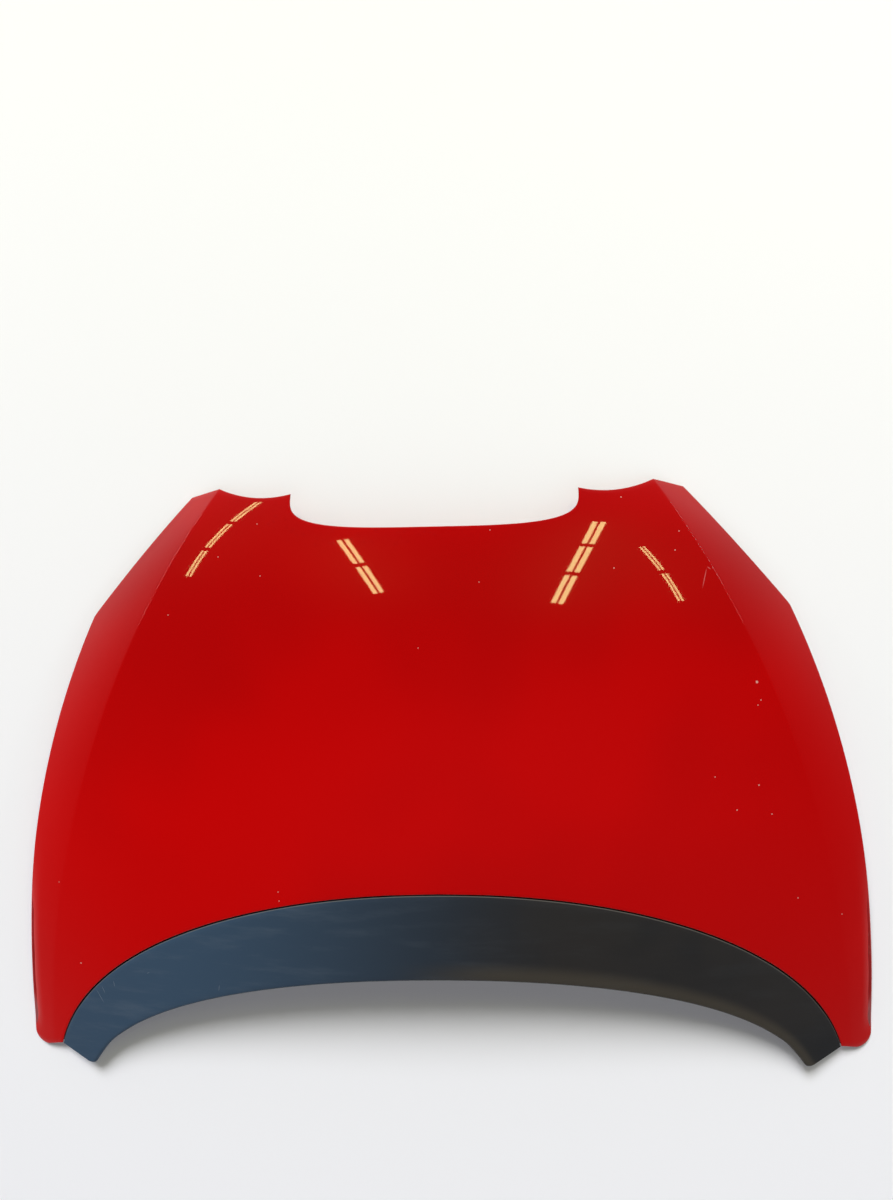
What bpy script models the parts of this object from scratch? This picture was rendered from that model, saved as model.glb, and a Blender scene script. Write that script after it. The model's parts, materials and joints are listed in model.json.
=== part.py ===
"""A car bonnet, lying on its underside: pressed skin, inner panel, windscreen trim and fittings.

The nose points along +Y, the windscreen edge along -Y, and the painted face looks up along +Z.
Lengths are in metres.
"""

import math

import bmesh
import bpy
from mathutils import Matrix, Vector
from mathutils.geometry import delaunay_2d_cdt

# The two sizes that the plan follows, measured from the line through the two rear tips
HALF_WIDTH = 0.7255
PEAK_Y = 0.9606                        # the foremost point, where the crease ends

# Plan of the painted skin
SIDE_TAPER = 0.1841 * HALF_WIDTH       # how far the side edge has come in at the lamp cut-out
SIDE_POWER = 2.245
KINK_Y = 0.7775 * PEAK_Y               # where the side edge turns into the lamp cut-out
HORN_X = 0.583 * HALF_WIDTH
HORN_Y = 0.9873 * PEAK_Y
PEAK_X = 0.511 * HALF_WIDTH
NOTCH_X = 0.3355 * HALF_WIDTH          # half width of the badge notch between the horns
NOTCH_Y = 0.9855 * PEAK_Y
NOTCH_FLOOR_Y = 0.9206 * PEAK_Y
NOTCH_POWER = 3.563
SCALLOP_SAG = 0.0111
TIP_Y = -0.0069
TIP_CORNER_R = 0.025
ARCH_Y = 0.3089 * PEAK_Y               # crown of the windscreen arch
ARCH_DROP = 0.3817 * PEAK_Y
ARCH_HALF_SPAN = 0.9417 * HALF_WIDTH
ARCH_POWER = 2.071
ARCH_END_X = 0.9274 * HALF_WIDTH

# The crease that runs back from each horn
CREASE_MID_X = 0.7974 * HALF_WIDTH
CREASE_MID_Y = 0.5517 * PEAK_Y
CREASE_REAR_X = 0.9483 * HALF_WIDTH

# Heights of the skin. Each drop is reached at the distance that its curve is divided by.
CROWN_Z = 0.112
CROWN_Y = 0.4372 * PEAK_Y
REAR_RISE = 0.0229
LENGTH_DROP = 0.143
NOSE_DROP = 0.0574
CROSS_DROP = 0.0908
FLANK_DROP = 0.0026
REAR_SLOPE = REAR_RISE / PEAK_Y
LENGTH_CURVE = LENGTH_DROP / PEAK_Y ** 2
NOSE_CURVE = NOSE_DROP / (PEAK_Y - CROWN_Y) ** 4
CROSS_CURVE = CROSS_DROP / HALF_WIDTH ** 2
FLANK_CURVE = FLANK_DROP / (0.1 * HALF_WIDTH) ** 2
CREASE_BREAK_NOSE = 0.30
CREASE_BREAK_REAR = 0.04
CREASE_FADE_Y = (0.26 * PEAK_Y, 0.956 * PEAK_Y)

# Sheet metal and its hem
SKIN_T = 0.0008
INNER_T = 0.0008
HEM_GAP = 0.0004
HEM_FLANGE = 0.009
HEM_R = (2 * SKIN_T + INNER_T + 2 * HEM_GAP) / 2
HEM_ANGLES = (60, 120, 180)

# Inner panel
BAND_W = 0.014           # glued flange behind the hem
WALL_RUN = 0.015
FLOOR_D = 0.024          # depth of the ribs below the painted face
TIP_FLOOR_D = 0.014      # the same at the rear tips and the horns, so that those stand clear
FLOOR_FADE_REAR = (0.0625 * PEAK_Y, 0.208 * PEAK_Y)
FLOOR_FADE_NOSE = (0.894 * PEAK_Y, 0.967 * PEAK_Y)
LEDGE_D = 0.014          # shelf along the arch that the windscreen trim clips to
LEDGE_W = 0.034
LEDGE_RUN = 0.007
POCKET_D = 0.004
POCKET_RUN = 0.013
POCKET_FLANGE = 0.019
POCKET_CORNER_R = 0.040
FLOOR_STEP = 0.065       # spacing of the points that keep the floor curved
FLOOR_CLEAR = 0.5        # share of that spacing that they keep from the pressed lines
FLOOR_START = 0.3        # share of the arch's height at which they start
PANEL_MERGE = 0.0015     # plan points nearer than this are one
OVERTAKEN = 0.98         # an offset point is dropped once it is nearer to the rim than this share
BAND_OVERTAKEN = 0.75    # the same for the narrow band, whose points fan out at the crease
SHELF_WALL_CLEAR = 0.6   # share of the wall's run between the trim shelf and the side wall
SPINE_SHARES = (0.25, 0.5, 0.75)   # floor points on the mirror plane

# Windscreen trim
TRIM_T = 0.0025
TRIM_GAP = 0.0035
TRIM_SINK = 0.0006
TRIM_W_MID = 0.1468
TRIM_W_END = 0.0685
TRIM_POWER = 0.631
TRIM_EDGE_R = 0.005
TRIM_END_ANGLE = math.radians(31)
TRIM_LIP = 0.010
TRIM_LIP_END = 0.003
TRIM_FLANGE = 0.046
TRIM_FLANGE_END = 0.009
TRIM_SHELF_END_D = 0.008
TRIM_FLANGE_FADE = (0.83, 0.91)   # shares of the arch between which the flange narrows
TRIM_LIP_FADE = (0.75, 1.0)
TRIM_NOSE_R = 0.0015
TRIM_FACE_SHARES = (0.35, 0.7)    # lines along the trim's face, which keep it curved
TRIM_EDGE_ANGLES = (35, 65, 90)

# Clips that hold the trim
CLIP_SHARES = (0.0, 0.27, 0.53, 0.76)    # of the arch's half width
CLIP_INSET = 0.033
CLIP_HEAD_R = 0.009
CLIP_HEAD_T = 0.0025
CLIP_STEM_R = 0.0035
CLIP_HOLE_R = 0.0045
CLIP_BARB_R = 0.0055
CLIP_TIP = 0.007
CLIP_SEAT_GAP = 0.0007
CLIP_BARB_UP = 0.72               # share of the clip's height at which its barb is widest
CLIP_BARB_EASE = 0.001
CLIP_TIP_SHARE = 0.6              # radius of the tip, as a share of the stem's
CLIP_RIM_SHARE = 0.8              # radius of the head's foot, as a share of the head's
CLIP_DRILL = 0.02

# Hinge mounting
HINGE_X = 0.882 * HALF_WIDTH
HINGE_Y = 0.264 * PEAK_Y
HINGE_PAD = (0.054, 0.104)
HINGE_HOLE_PITCH = 0.060
HINGE_HOLE_R = 0.0055
HINGE_PLATE_T = 0.0015
HINGE_PLATE_EDGE = 0.004
HINGE_CLEAR = 0.030               # how near the shelf's foot may come to the pad's outline
HINGE_DRILL = 0.02
NUT_AF = 0.013
NUT_H = 0.0065
NUT_BORE_R = 0.0034

# Striker for the bonnet lock
STRIKER_Y = NOTCH_FLOOR_Y - 0.083
STRIKER_PAD = (0.112, 0.050)
STRIKER_D = 0.029
STRIKER_BASE = (0.094, 0.038, 0.003)
STRIKER_BOLT_PITCH = 0.072
STRIKER_WIRE_R = 0.004
STRIKER_LOOP_W = 0.034
STRIKER_LOOP_H = 0.034
BOLT_R = 0.003
BOLT_HEAD_R = 0.0062
BOLT_HEAD_T = 0.004
BOLT_OVER = 0.001                 # how far the bolt's end stands out of its nut
STRIKER_NUT_SHARE = 0.8           # size of the striker's nuts, as a share of the hinge's
STRIKER_DRILL = 0.03
STRIKER_BENDS = 8                 # straight stretches round the wire's bend

# Rubber stops at the front corners
BUFFER_X = 0.880 * PEAK_X
BUFFER_Y = 0.9161 * PEAK_Y
BUFFER_R = 0.012
BUFFER_H = 0.010
BUFFER_STEM_R = 0.0045
BUFFER_STEM_OVER = 0.006
BUFFER_HOLE_R = 0.0052
BUFFER_STEM_EASE = 0.001
BUFFER_FOOT_SHARE = 0.8           # where the foot's edge starts, as shares of height and radius
SEAT_EDGE = 0.004

MASTIC_R = 0.009
MASTIC_SKIN_GAP = 0.0008
MASTIC_PANEL_GAP = 0.0004
MASTIC_FACE_SHARE = 0.9
MASTIC_PLACES = (0.0, 0.5)        # shares of the way round a pocket's flange
REST_GAP = 0.0003

# Where the columns and rows of the skin's surface run, as shares of its width and length
COLUMNS_IN_NOTCH = (0.0, 0.14, 0.28, 0.41, 0.53, 0.635, 0.73, 0.835, 0.91, 0.965, 1.0)
COLUMNS_ON_HORN = (0.22, 0.43, 0.62, 0.78, 0.90)
COLUMNS_ON_FLANK = (0.33, 0.64, 0.88, 1.0)
ROWS = (0.0, 0.03, 0.08, 0.15, 0.23, 0.31, 0.39, 0.47, 0.55, 0.62, 0.69, 0.75, 0.80, 0.845,
        0.885, 0.92, 0.95, 0.98, 1.0)

# Pockets of the inner panel: shares of the half width and of the length
POCKETS = {
    "rear_centre": (0.07, 0.36, 0.16, 0.44),
    "rear_side": (0.43, 0.74, 0.23, 0.46),
    "middle_centre": (0.07, 0.36, 0.52, 0.76),
    "middle_side": (0.43, 0.74, 0.54, 0.80),
    "flank": (0.81, 0.975, 0.36, 0.66),
}

PARTS = "car_bonnet"
SEARCH_OVER = 0.1        # how far past both ends a crossing is looked for
SEARCH_STEPS = 60
SLOPE_STEP = 0.001
SHARP_ANGLE = math.radians(35)


def crease_x(y):
    """Half width at the crease: one parabola through its rear, middle and front points."""
    nose = PEAK_X * y * (y - CREASE_MID_Y) / (PEAK_Y * (PEAK_Y - CREASE_MID_Y))
    middle = CREASE_MID_X * y * (y - PEAK_Y) / (CREASE_MID_Y * (CREASE_MID_Y - PEAK_Y))
    rear = CREASE_REAR_X * (y - CREASE_MID_Y) * (y - PEAK_Y) / (CREASE_MID_Y * PEAK_Y)
    return nose + middle + rear


def side_x(y):
    """Half width at the outer edge: a bowed side, then the straight lamp cut-out."""
    if y <= KINK_Y:
        return HALF_WIDTH - SIDE_TAPER * (max(y, 0.0) / KINK_Y) ** SIDE_POWER
    share = (y - KINK_Y) / (HORN_Y - KINK_Y)
    return (HALF_WIDTH - SIDE_TAPER) * (1 - share) + HORN_X * share


def nose_y(x):
    """Front edge: notch floor, its round corner, the scallop of the horn and the horn's end."""
    if x <= NOTCH_X:
        bow = (1 - (x / NOTCH_X) ** NOTCH_POWER) ** (1 / NOTCH_POWER)
        return NOTCH_FLOOR_Y + (NOTCH_Y - NOTCH_FLOOR_Y) * (1 - bow)
    if x <= PEAK_X:
        share = (x - NOTCH_X) / (PEAK_X - NOTCH_X)
        chord = NOTCH_Y + (PEAK_Y - NOTCH_Y) * share
        return chord - 4 * SCALLOP_SAG * share * (1 - share)
    return PEAK_Y + (HORN_Y - PEAK_Y) * (x - PEAK_X) / (HORN_X - PEAK_X)


def arch_y(x):
    bow = 1 - min(x / ARCH_HALF_SPAN, 1.0) ** ARCH_POWER
    return ARCH_Y - ARCH_DROP * (1 - bow ** (1 / ARCH_POWER))


def rear_y(x):
    """Rear edge: the windscreen arch, then the rounded tip."""
    if x <= ARCH_END_X:
        return arch_y(x)
    turn = x - (HALF_WIDTH - TIP_CORNER_R)
    if turn <= 0:
        share = (x - ARCH_END_X) / (HALF_WIDTH - TIP_CORNER_R - ARCH_END_X)
        return arch_y(ARCH_END_X) * (1 - share) + TIP_Y * share
    return TIP_Y + TIP_CORNER_R - math.sqrt(max(TIP_CORNER_R ** 2 - turn ** 2, 0.0))


def smooth_step(value, low, high):
    share = min(max((value - low) / (high - low), 0.0), 1.0)
    return share * share * (3 - 2 * share)


def skin_z(x, y):
    """Height of the painted face."""
    across = abs(x)
    height = CROWN_Z + REAR_SLOPE * y - LENGTH_CURVE * (y - CROWN_Y) ** 2
    height -= NOSE_CURVE * max(y - CROWN_Y, 0.0) ** 4
    height -= CROSS_CURVE * across ** 2
    flank = max(across - crease_x(y), 0.0)
    slope_break = CREASE_BREAK_REAR
    slope_break += (CREASE_BREAK_NOSE - CREASE_BREAK_REAR) * smooth_step(y, *CREASE_FADE_Y)
    return height - slope_break * flank - FLANK_CURVE * flank ** 2


def skin_normal(x, y):
    step = SLOPE_STEP
    slope_x = (skin_z(x + step, y) - skin_z(x - step, y)) / (2 * step)
    slope_y = (skin_z(x, y + step) - skin_z(x, y - step)) / (2 * step)
    return Vector((-slope_x, -slope_y, 1.0)).normalized()


def below(x, y, depth):
    """The point straight under (x, y) that lies depth under the painted face, square to it."""
    return Vector((x, y, skin_z(x, y) - depth / skin_normal(x, y).z))


def floor_depth(y):
    """Depth of the inner panel's floor, which is shallower at the tips and the horns."""
    ends = 1 - smooth_step(y, *FLOOR_FADE_REAR) + smooth_step(y, *FLOOR_FADE_NOSE)
    return FLOOR_D - (FLOOR_D - TIP_FLOOR_D) * ends


def crossing(edge, across):
    """Where a column, whose half width at y is across(y), meets an edge y = edge(x)."""
    low, high = -SEARCH_OVER, PEAK_Y + SEARCH_OVER
    for _ in range(SEARCH_STEPS):
        middle = (low + high) / 2
        if edge(across(middle)) > middle:
            low = middle
        else:
            high = middle
    return (low + high) / 2


def column_rule(kind, share):
    """Half width as a function of y, for a column inside the crease or on the flank."""
    if kind == "inside":
        return lambda y: share * crease_x(y)
    return lambda y: crease_x(y) + share * (side_x(y) - crease_x(y))


def skin_columns():
    """Each column of the skin's surface as its rule and the y of its rear and front ends."""
    notch_share = NOTCH_X / crease_x(NOTCH_Y)
    arch_share = ARCH_END_X / crease_x(arch_y(ARCH_END_X))
    inside = [share * notch_share for share in COLUMNS_IN_NOTCH]
    inside += [notch_share + share * (arch_share - notch_share) for share in COLUMNS_ON_HORN]
    inside += [arch_share, 1.0]
    rules = [column_rule("inside", share) for share in inside]
    rules += [column_rule("flank", share) for share in COLUMNS_ON_FLANK]
    columns = []
    for rule in rules:
        rear = crossing(lambda x: rear_y(max(x, 0.0)), rule)
        columns.append((rule, rear, crossing(nose_y, rule)))
    columns[-1] = (rules[-1], TIP_Y + TIP_CORNER_R, HORN_Y)
    arch_count = len(inside) - 1
    return columns, arch_count


def column_point(column, share):
    rule, rear, front = column
    y = rear + share * (front - rear)
    return Vector((rule(y), y))


def rim_of(points):
    """Plan points round the right half's edge, from the middle of the arch to the middle of the
    nose, each with its outward direction stretched so that offsets stay parallel."""
    rim = []
    for index, point in enumerate(points):
        directions = []
        if index > 0:
            directions.append((point - points[index - 1]).normalized())
        if index < len(points) - 1:
            directions.append((points[index + 1] - point).normalized())
        outward = [Vector((d.y, -d.x)) for d in directions]
        if len(outward) == 1:
            way = Vector((0.0, math.copysign(1.0, outward[0].y)))
        else:
            way = (outward[0] + outward[1]).normalized()
            way /= way.dot(outward[0])
        rim.append((point, way))
    return rim


def skin_rim(columns, arch_count):
    """The rim, whose offsets follow the crease where the crease meets the edge."""
    rear = [column_point(column, 0.0) for column in columns]
    side = [column_point(columns[-1], share) for share in ROWS[1:-1]]
    nose = [column_point(column, 1.0) for column in reversed(columns)]
    rim = rim_of(rear + side + nose)
    crease = columns[arch_count]
    for index, near, far in ((arch_count, 0.0, ROWS[1]),
                             (len(rim) - 1 - arch_count, 1.0, ROWS[-2])):
        point, way = rim[index]
        along = (column_point(crease, near) - column_point(crease, far)).normalized()
        rim[index] = (point, along / along.dot(way.normalized()))
    return rim


def material(name, colour, roughness, metallic=0.0):
    made = bpy.data.materials.new(name)
    made.use_nodes = True
    shader = made.node_tree.nodes["Principled BSDF"]
    shader.inputs["Base Color"].default_value = (*colour, 1.0)
    shader.inputs["Roughness"].default_value = roughness
    shader.inputs["Metallic"].default_value = metallic
    made.diffuse_color = (*colour, 1.0)
    return made


def collection(name):
    made = bpy.data.collections.new(name)
    bpy.context.scene.collection.children.link(made)
    return made


def add_object(name, mesh, look, smooth=True):
    mesh.materials.clear()
    mesh.materials.append(look)
    if smooth:
        mesh.shade_smooth()
        mesh.set_sharp_from_angle(angle=SHARP_ANGLE)
    made = bpy.data.objects.new(name, mesh)
    bpy.data.collections[PARTS].objects.link(made)
    return made


def mesh_from(name, points, faces):
    mesh = bpy.data.meshes.new(name)
    mesh.from_pydata([tuple(point) for point in points], [], faces)
    mesh.validate()
    return mesh


def add_mirror(made):
    mirror = made.modifiers.new("mirror", "MIRROR")
    mirror.merge_threshold = 0.0001
    return mirror


def add_thickness(made, thickness):
    solid = made.modifiers.new("sheet", "SOLIDIFY")
    solid.thickness = thickness
    solid.offset = -1.0
    solid.use_even_offset = True
    return solid


def build_outer_skin(columns, rim, look):
    """The painted pressing: a grid of columns and rows, with its edge rolled under as a hem."""
    row_count = len(ROWS)
    points = []
    for column in columns:
        for share in ROWS:
            flat = column_point(column, share)
            points.append(below(flat.x, flat.y, 0.0))
    faces = []
    for i in range(len(columns) - 1):
        for j in range(row_count - 1):
            corner = i * row_count + j
            faces.append((corner, corner + row_count, corner + row_count + 1, corner + 1))
    last = len(columns) - 1
    edge = [i * row_count for i in range(len(columns))]
    edge += [last * row_count + j for j in range(1, row_count - 1)]
    edge += [i * row_count + row_count - 1 for i in range(last, -1, -1)]

    profile = [(HEM_R * math.sin(math.radians(a)), HEM_R * (1 - math.cos(math.radians(a))))
               for a in HEM_ANGLES]
    profile.append((-HEM_FLANGE, 2 * HEM_R))
    previous = edge
    for out, depth in profile:
        ring = []
        for point, way in rim:
            place = point + way * out
            ring.append(len(points))
            points.append(below(place.x, place.y, depth))
        for k in range(len(rim) - 1):
            faces.append((previous[k], ring[k], ring[k + 1], previous[k + 1]))
        previous = ring
    skin = add_object("outer_skin", mesh_from("outer_skin", points, faces), look)
    add_mirror(skin)
    add_thickness(skin, SKIN_T)
    return skin


def offset_line(rim, inset, keep=OVERTAKEN):
    """The rim moved inwards, without the points that a neighbouring stretch of edge overtakes."""
    moved = [point - way * inset for point, way in rim]
    kept = []
    for candidate in moved:
        nearest = min(distance_to_segment(candidate, rim[k][0], rim[k + 1][0])
                      for k in range(len(rim) - 1))
        if nearest >= inset * keep and candidate.x > -1e-6:
            kept.append(candidate)
    return kept


def distance_to_segment(point, start, end):
    along = end - start
    share = max(0.0, min(1.0, (point - start).dot(along) / along.length_squared))
    return (point - start - along * share).length


def inside(point, loop):
    crossed = False
    for k, start in enumerate(loop):
        end = loop[(k + 1) % len(loop)]
        if (start.y > point.y) != (end.y > point.y):
            x = start.x + (point.y - start.y) * (end.x - start.x) / (end.y - start.y)
            if point.x < x:
                crossed = not crossed
    return crossed


def circle(centre, radius, count=10):
    turn = 2 * math.pi / count
    return [centre + Vector((math.cos(k * turn), math.sin(k * turn))) * radius
            for k in range(count)]


def rounded_loop(corners, radius, steps=3, along=2):
    """A loop through the corners, each rounded, with a few points along every side."""
    loop = []
    count = len(corners)
    for k, corner in enumerate(corners):
        before = (corners[k - 1] - corner).normalized()
        after = (corners[(k + 1) % count] - corner).normalized()
        half = math.acos(max(-1.0, min(1.0, before.dot(after)))) / 2
        reach = radius / math.tan(half)
        centre = corner + (before + after).normalized() * (radius / math.sin(half))
        first = corner + before * reach - centre
        last = corner + after * reach - centre
        sweep = first.angle_signed(last)
        for step in range(steps + 1):
            turned = first.copy()
            turned.rotate(Matrix.Rotation(-sweep * step / steps, 2))
            loop.append(centre + turned)
    filled = []
    for k, point in enumerate(loop):
        filled.append(point)
        following = loop[(k + 1) % len(loop)]
        pieces = along + 1 if (following - point).length > radius else 1
        filled += [point.lerp(following, step / pieces) for step in range(1, pieces)]
    return filled


def inset_loop(loop, inset):
    """A closed convex loop, walked anticlockwise, moved inwards."""
    moved = []
    for k, point in enumerate(loop):
        first = (point - loop[k - 1]).normalized()
        second = (loop[(k + 1) % len(loop)] - point).normalized()
        inward = Vector((-first.y - second.y, first.x + second.x)).normalized()
        moved.append(point + inward * inset / inward.dot(Vector((-first.y, first.x))))
    return moved


def panel_point(across, along):
    """Plan point at a share of the half width inside the crease and a share of the length."""
    def rule(y):
        return across * crease_x(y)
    rear = crossing(arch_y, rule)
    front = NOTCH_FLOOR_Y
    y = rear + along * (front - rear)
    return Vector((rule(y), y))


def pocket_loop(name):
    left, right, rear, front = POCKETS[name]
    corners = [panel_point(left, rear), panel_point(right, rear),
               panel_point(right, front), panel_point(left, front)]
    return rounded_loop(corners, POCKET_CORNER_R)


def plane_height(point, seat, depth):
    """Height of a point on the plane that touches the depth's surface at the seat."""
    square = skin_normal(seat.x, seat.y)
    slide = square.x * (point.x - seat.x) + square.y * (point.y - seat.y)
    return below(seat.x, seat.y, depth).z - slide / square.z


class PanelMap:
    """Plan points of the inner panel with their heights, and the lines that join them."""

    def __init__(self):
        self.points = []
        self.heights = []
        self.edges = []
        self.holes = []

    def add(self, point, height):
        """The number of a plan point, which is an earlier one where they nearly meet."""
        spot = Vector((point.x if point.x > PANEL_MERGE else 0.0, point.y))
        for number, other in enumerate(self.points):
            if (other - spot).length < PANEL_MERGE:
                return number
        self.points.append(spot)
        self.heights.append(height)
        return len(self.points) - 1

    def line(self, loop, depth, closed=False, level=None, seat=None):
        """A line at one depth under the painted face, which is the floor's own where depth is None,
        at one level height, or on the plane that is square to the face at a seat."""
        ids = []
        for point in loop:
            if level is not None:
                height = level
            elif seat is not None:
                height = plane_height(point, seat, depth)
            else:
                height = below(point.x, point.y, floor_depth(point.y) if depth is None else depth).z
            ids.append(self.add(point, height))
        pairs = list(zip(ids, ids[1:]))
        if closed:
            pairs.append((ids[-1], ids[0]))
        self.edges += [pair for pair in pairs if pair[0] != pair[1]]
        return ids

    def hole(self, loop, depth=None, level=None, seat=None):
        self.line(loop, depth, closed=True, level=level, seat=seat)
        self.holes.append(loop)


def box_loop(centre, size):
    """A rectangle's outline with its mid points, walked anticlockwise."""
    half_x, half_y = size[0] / 2, size[1] / 2
    steps = ((-1, -1), (0, -1), (1, -1), (1, 0), (1, 1), (0, 1), (-1, 1), (-1, 0))
    return [centre + Vector((sx * half_x, sy * half_y)) for sx, sy in steps]


def hinge_level():
    return skin_z(HINGE_X, HINGE_Y) - FLOOR_D


def striker_level():
    return skin_z(0.0, STRIKER_Y) - STRIKER_D


def clip_places(rim, arch_count):
    """Plan points of the clips of one half, from the middle outwards."""
    places = []
    for share in CLIP_SHARES:
        x = share * ARCH_END_X
        low = max(k for k in range(arch_count - 1) if rim[k][0].x <= x + 1e-9)
        start, end = rim[low][0], rim[low + 1][0]
        part_way = (x - start.x) / (end.x - start.x)
        way = rim[low][1].lerp(rim[low + 1][1], part_way).normalized()
        places.append(start.lerp(end, part_way) - way * CLIP_INSET)
    return places


def floor_filler(blocked):
    """Points that keep the panel's floor on the skin's curve between its pressed lines."""
    filler = []
    across = FLOOR_STEP
    while across < HALF_WIDTH:
        along = ARCH_Y * FLOOR_START
        while along < PEAK_Y:
            point = Vector((across, along))
            if all((point - other).length > FLOOR_STEP * FLOOR_CLEAR for other in blocked):
                filler.append(point)
            along += FLOOR_STEP
        across += FLOOR_STEP
    return filler


def build_inner_panel(rim, arch_count, clips, look):
    """The pressing under the skin: glued flange, ribs, pockets, trim shelf and level pads."""
    panel = PanelMap()
    sheet_d = SKIN_T + HEM_GAP
    hem_inset = HEM_GAP + SKIN_T
    outline = [point - way * hem_inset for point, way in rim]
    panel.line(outline, sheet_d)
    panel.line(offset_line(rim, BAND_W, keep=BAND_OVERTAKEN), sheet_d)
    for index in (arch_count, len(rim) - 1 - arch_count):
        point, way = rim[index]
        panel.line([outline[index], point - way * BAND_W], sheet_d)
    wall = offset_line(rim, BAND_W + WALL_RUN)

    shelf_rim = rim[:arch_count]
    shelf_in = BAND_W + LEDGE_RUN
    shelf_out = shelf_in + LEDGE_W
    shelf_near = [point - way * shelf_in for point, way in shelf_rim[:-1]]
    shelf_far = [point - way * shelf_out for point, way in shelf_rim[:-1]]
    floor_edge = [point - way * (shelf_out + WALL_RUN) for point, way in shelf_rim[:-1]]
    near_ids = panel.line(shelf_near, LEDGE_D)
    far_ids = panel.line(shelf_far, LEDGE_D)
    panel.edges.append((near_ids[-1], far_ids[-1]))

    def off_arch(point, limit):
        return min(distance_to_segment(point, shelf_rim[k][0], shelf_rim[k + 1][0])
                   for k in range(len(shelf_rim) - 1)) > limit

    side_wall = [p for p in wall if off_arch(p, shelf_out + WALL_RUN * SHELF_WALL_CLEAR)]
    panel.line(side_wall, None)
    hinge = box_loop(Vector((HINGE_X, HINGE_Y)), HINGE_PAD)
    floor_edge = [p for p in floor_edge if all((p - h).length > HINGE_CLEAR for h in hinge)]
    panel.line(floor_edge, None)

    for name in POCKETS:
        loop = pocket_loop(name)
        shelf = inset_loop(loop, POCKET_RUN)
        panel.line(loop, None, closed=True)
        panel.line(shelf, POCKET_D, closed=True)
        panel.hole(inset_loop(shelf, POCKET_FLANGE), POCKET_D)

    panel.line(hinge, None, closed=True, level=hinge_level())
    for side in (-1, 1):
        centre = Vector((HINGE_X, HINGE_Y + side * HINGE_HOLE_PITCH / 2))
        panel.hole(circle(centre, HINGE_HOLE_R), level=hinge_level())

    half_x, half_y = STRIKER_PAD[0] / 2, STRIKER_PAD[1] / 2
    pad = [Vector((0.0, STRIKER_Y - half_y)), Vector((half_x, STRIKER_Y - half_y)),
           Vector((half_x, STRIKER_Y + half_y)), Vector((0.0, STRIKER_Y + half_y))]
    panel.line(pad, None, level=striker_level())
    bolt = Vector((STRIKER_BOLT_PITCH / 2, STRIKER_Y))
    panel.hole(circle(bolt, BOLT_R + REST_GAP), level=striker_level())

    for place in clips:
        if place.x < CLIP_HOLE_R:
            ring = circle(place, CLIP_HOLE_R, 12)
            ring = [p for p in ring if p.x > -1e-6]
            ring.sort(key=lambda p: math.atan2(p.y - place.y, p.x))
            panel.line(ring, LEDGE_D)
            panel.holes.append(ring)
        else:
            panel.hole(circle(place, CLIP_HOLE_R), LEDGE_D)
    buffer = Vector((BUFFER_X, BUFFER_Y))
    seat_d = floor_depth(BUFFER_Y)
    panel.hole(circle(buffer, BUFFER_HOLE_R), seat_d, seat=buffer)
    panel.line(circle(buffer, BUFFER_R + SEAT_EDGE), seat_d, closed=True, seat=buffer)

    for point in floor_filler(list(panel.points)):
        deep = inside(point, wall_polygon(wall))
        clear = off_arch(point, shelf_out + WALL_RUN)
        pocketed = any(inside(point, pocket_loop(name)) for name in POCKETS)
        if deep and clear and not pocketed:
            panel.add(point, below(point.x, point.y, floor_depth(point.y)).z)
    for share in SPINE_SHARES:
        spine_y = ARCH_Y + (NOTCH_FLOOR_Y - ARCH_Y) * share
        panel.add(Vector((0.0, spine_y)), below(0.0, spine_y, floor_depth(spine_y)).z)

    flat, _, faces, origins, _, _ = delaunay_2d_cdt(
        panel.points, panel.edges, [], 0, 1e-7)
    points = []
    for position, origin in zip(flat, origins):
        height = panel.heights[origin[0]] if origin else below(*position, floor_depth(position.y)).z
        points.append((position.x, position.y, height))
    outer = outline + [Vector((-0.001, outline[-1].y)), Vector((-0.001, outline[0].y))]
    kept = []
    for face in faces:
        middle = sum((flat[k] for k in face), Vector((0.0, 0.0))) / len(face)
        if inside(middle, outer) and not any(inside(middle, hole) for hole in panel.holes):
            kept.append(face)
    mesh = mesh_from("inner_panel", points, kept)
    clean = bmesh.new()
    clean.from_mesh(mesh)
    bmesh.ops.delete(clean, geom=[v for v in clean.verts if not v.link_faces], context="VERTS")
    for face in clean.faces:
        if face.normal.z < 0:
            face.normal_flip()
    clean.to_mesh(mesh)
    clean.free()
    inner = add_object("inner_panel", mesh, look)
    add_mirror(inner)
    add_thickness(inner, INNER_T)
    return inner


def wall_polygon(wall):
    return wall + [Vector((0.0, wall[-1].y)), Vector((0.0, wall[0].y))]


def trim_width(share):
    return TRIM_W_END + (TRIM_W_MID - TRIM_W_END) * (1 - share ** 2) ** TRIM_POWER


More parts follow.
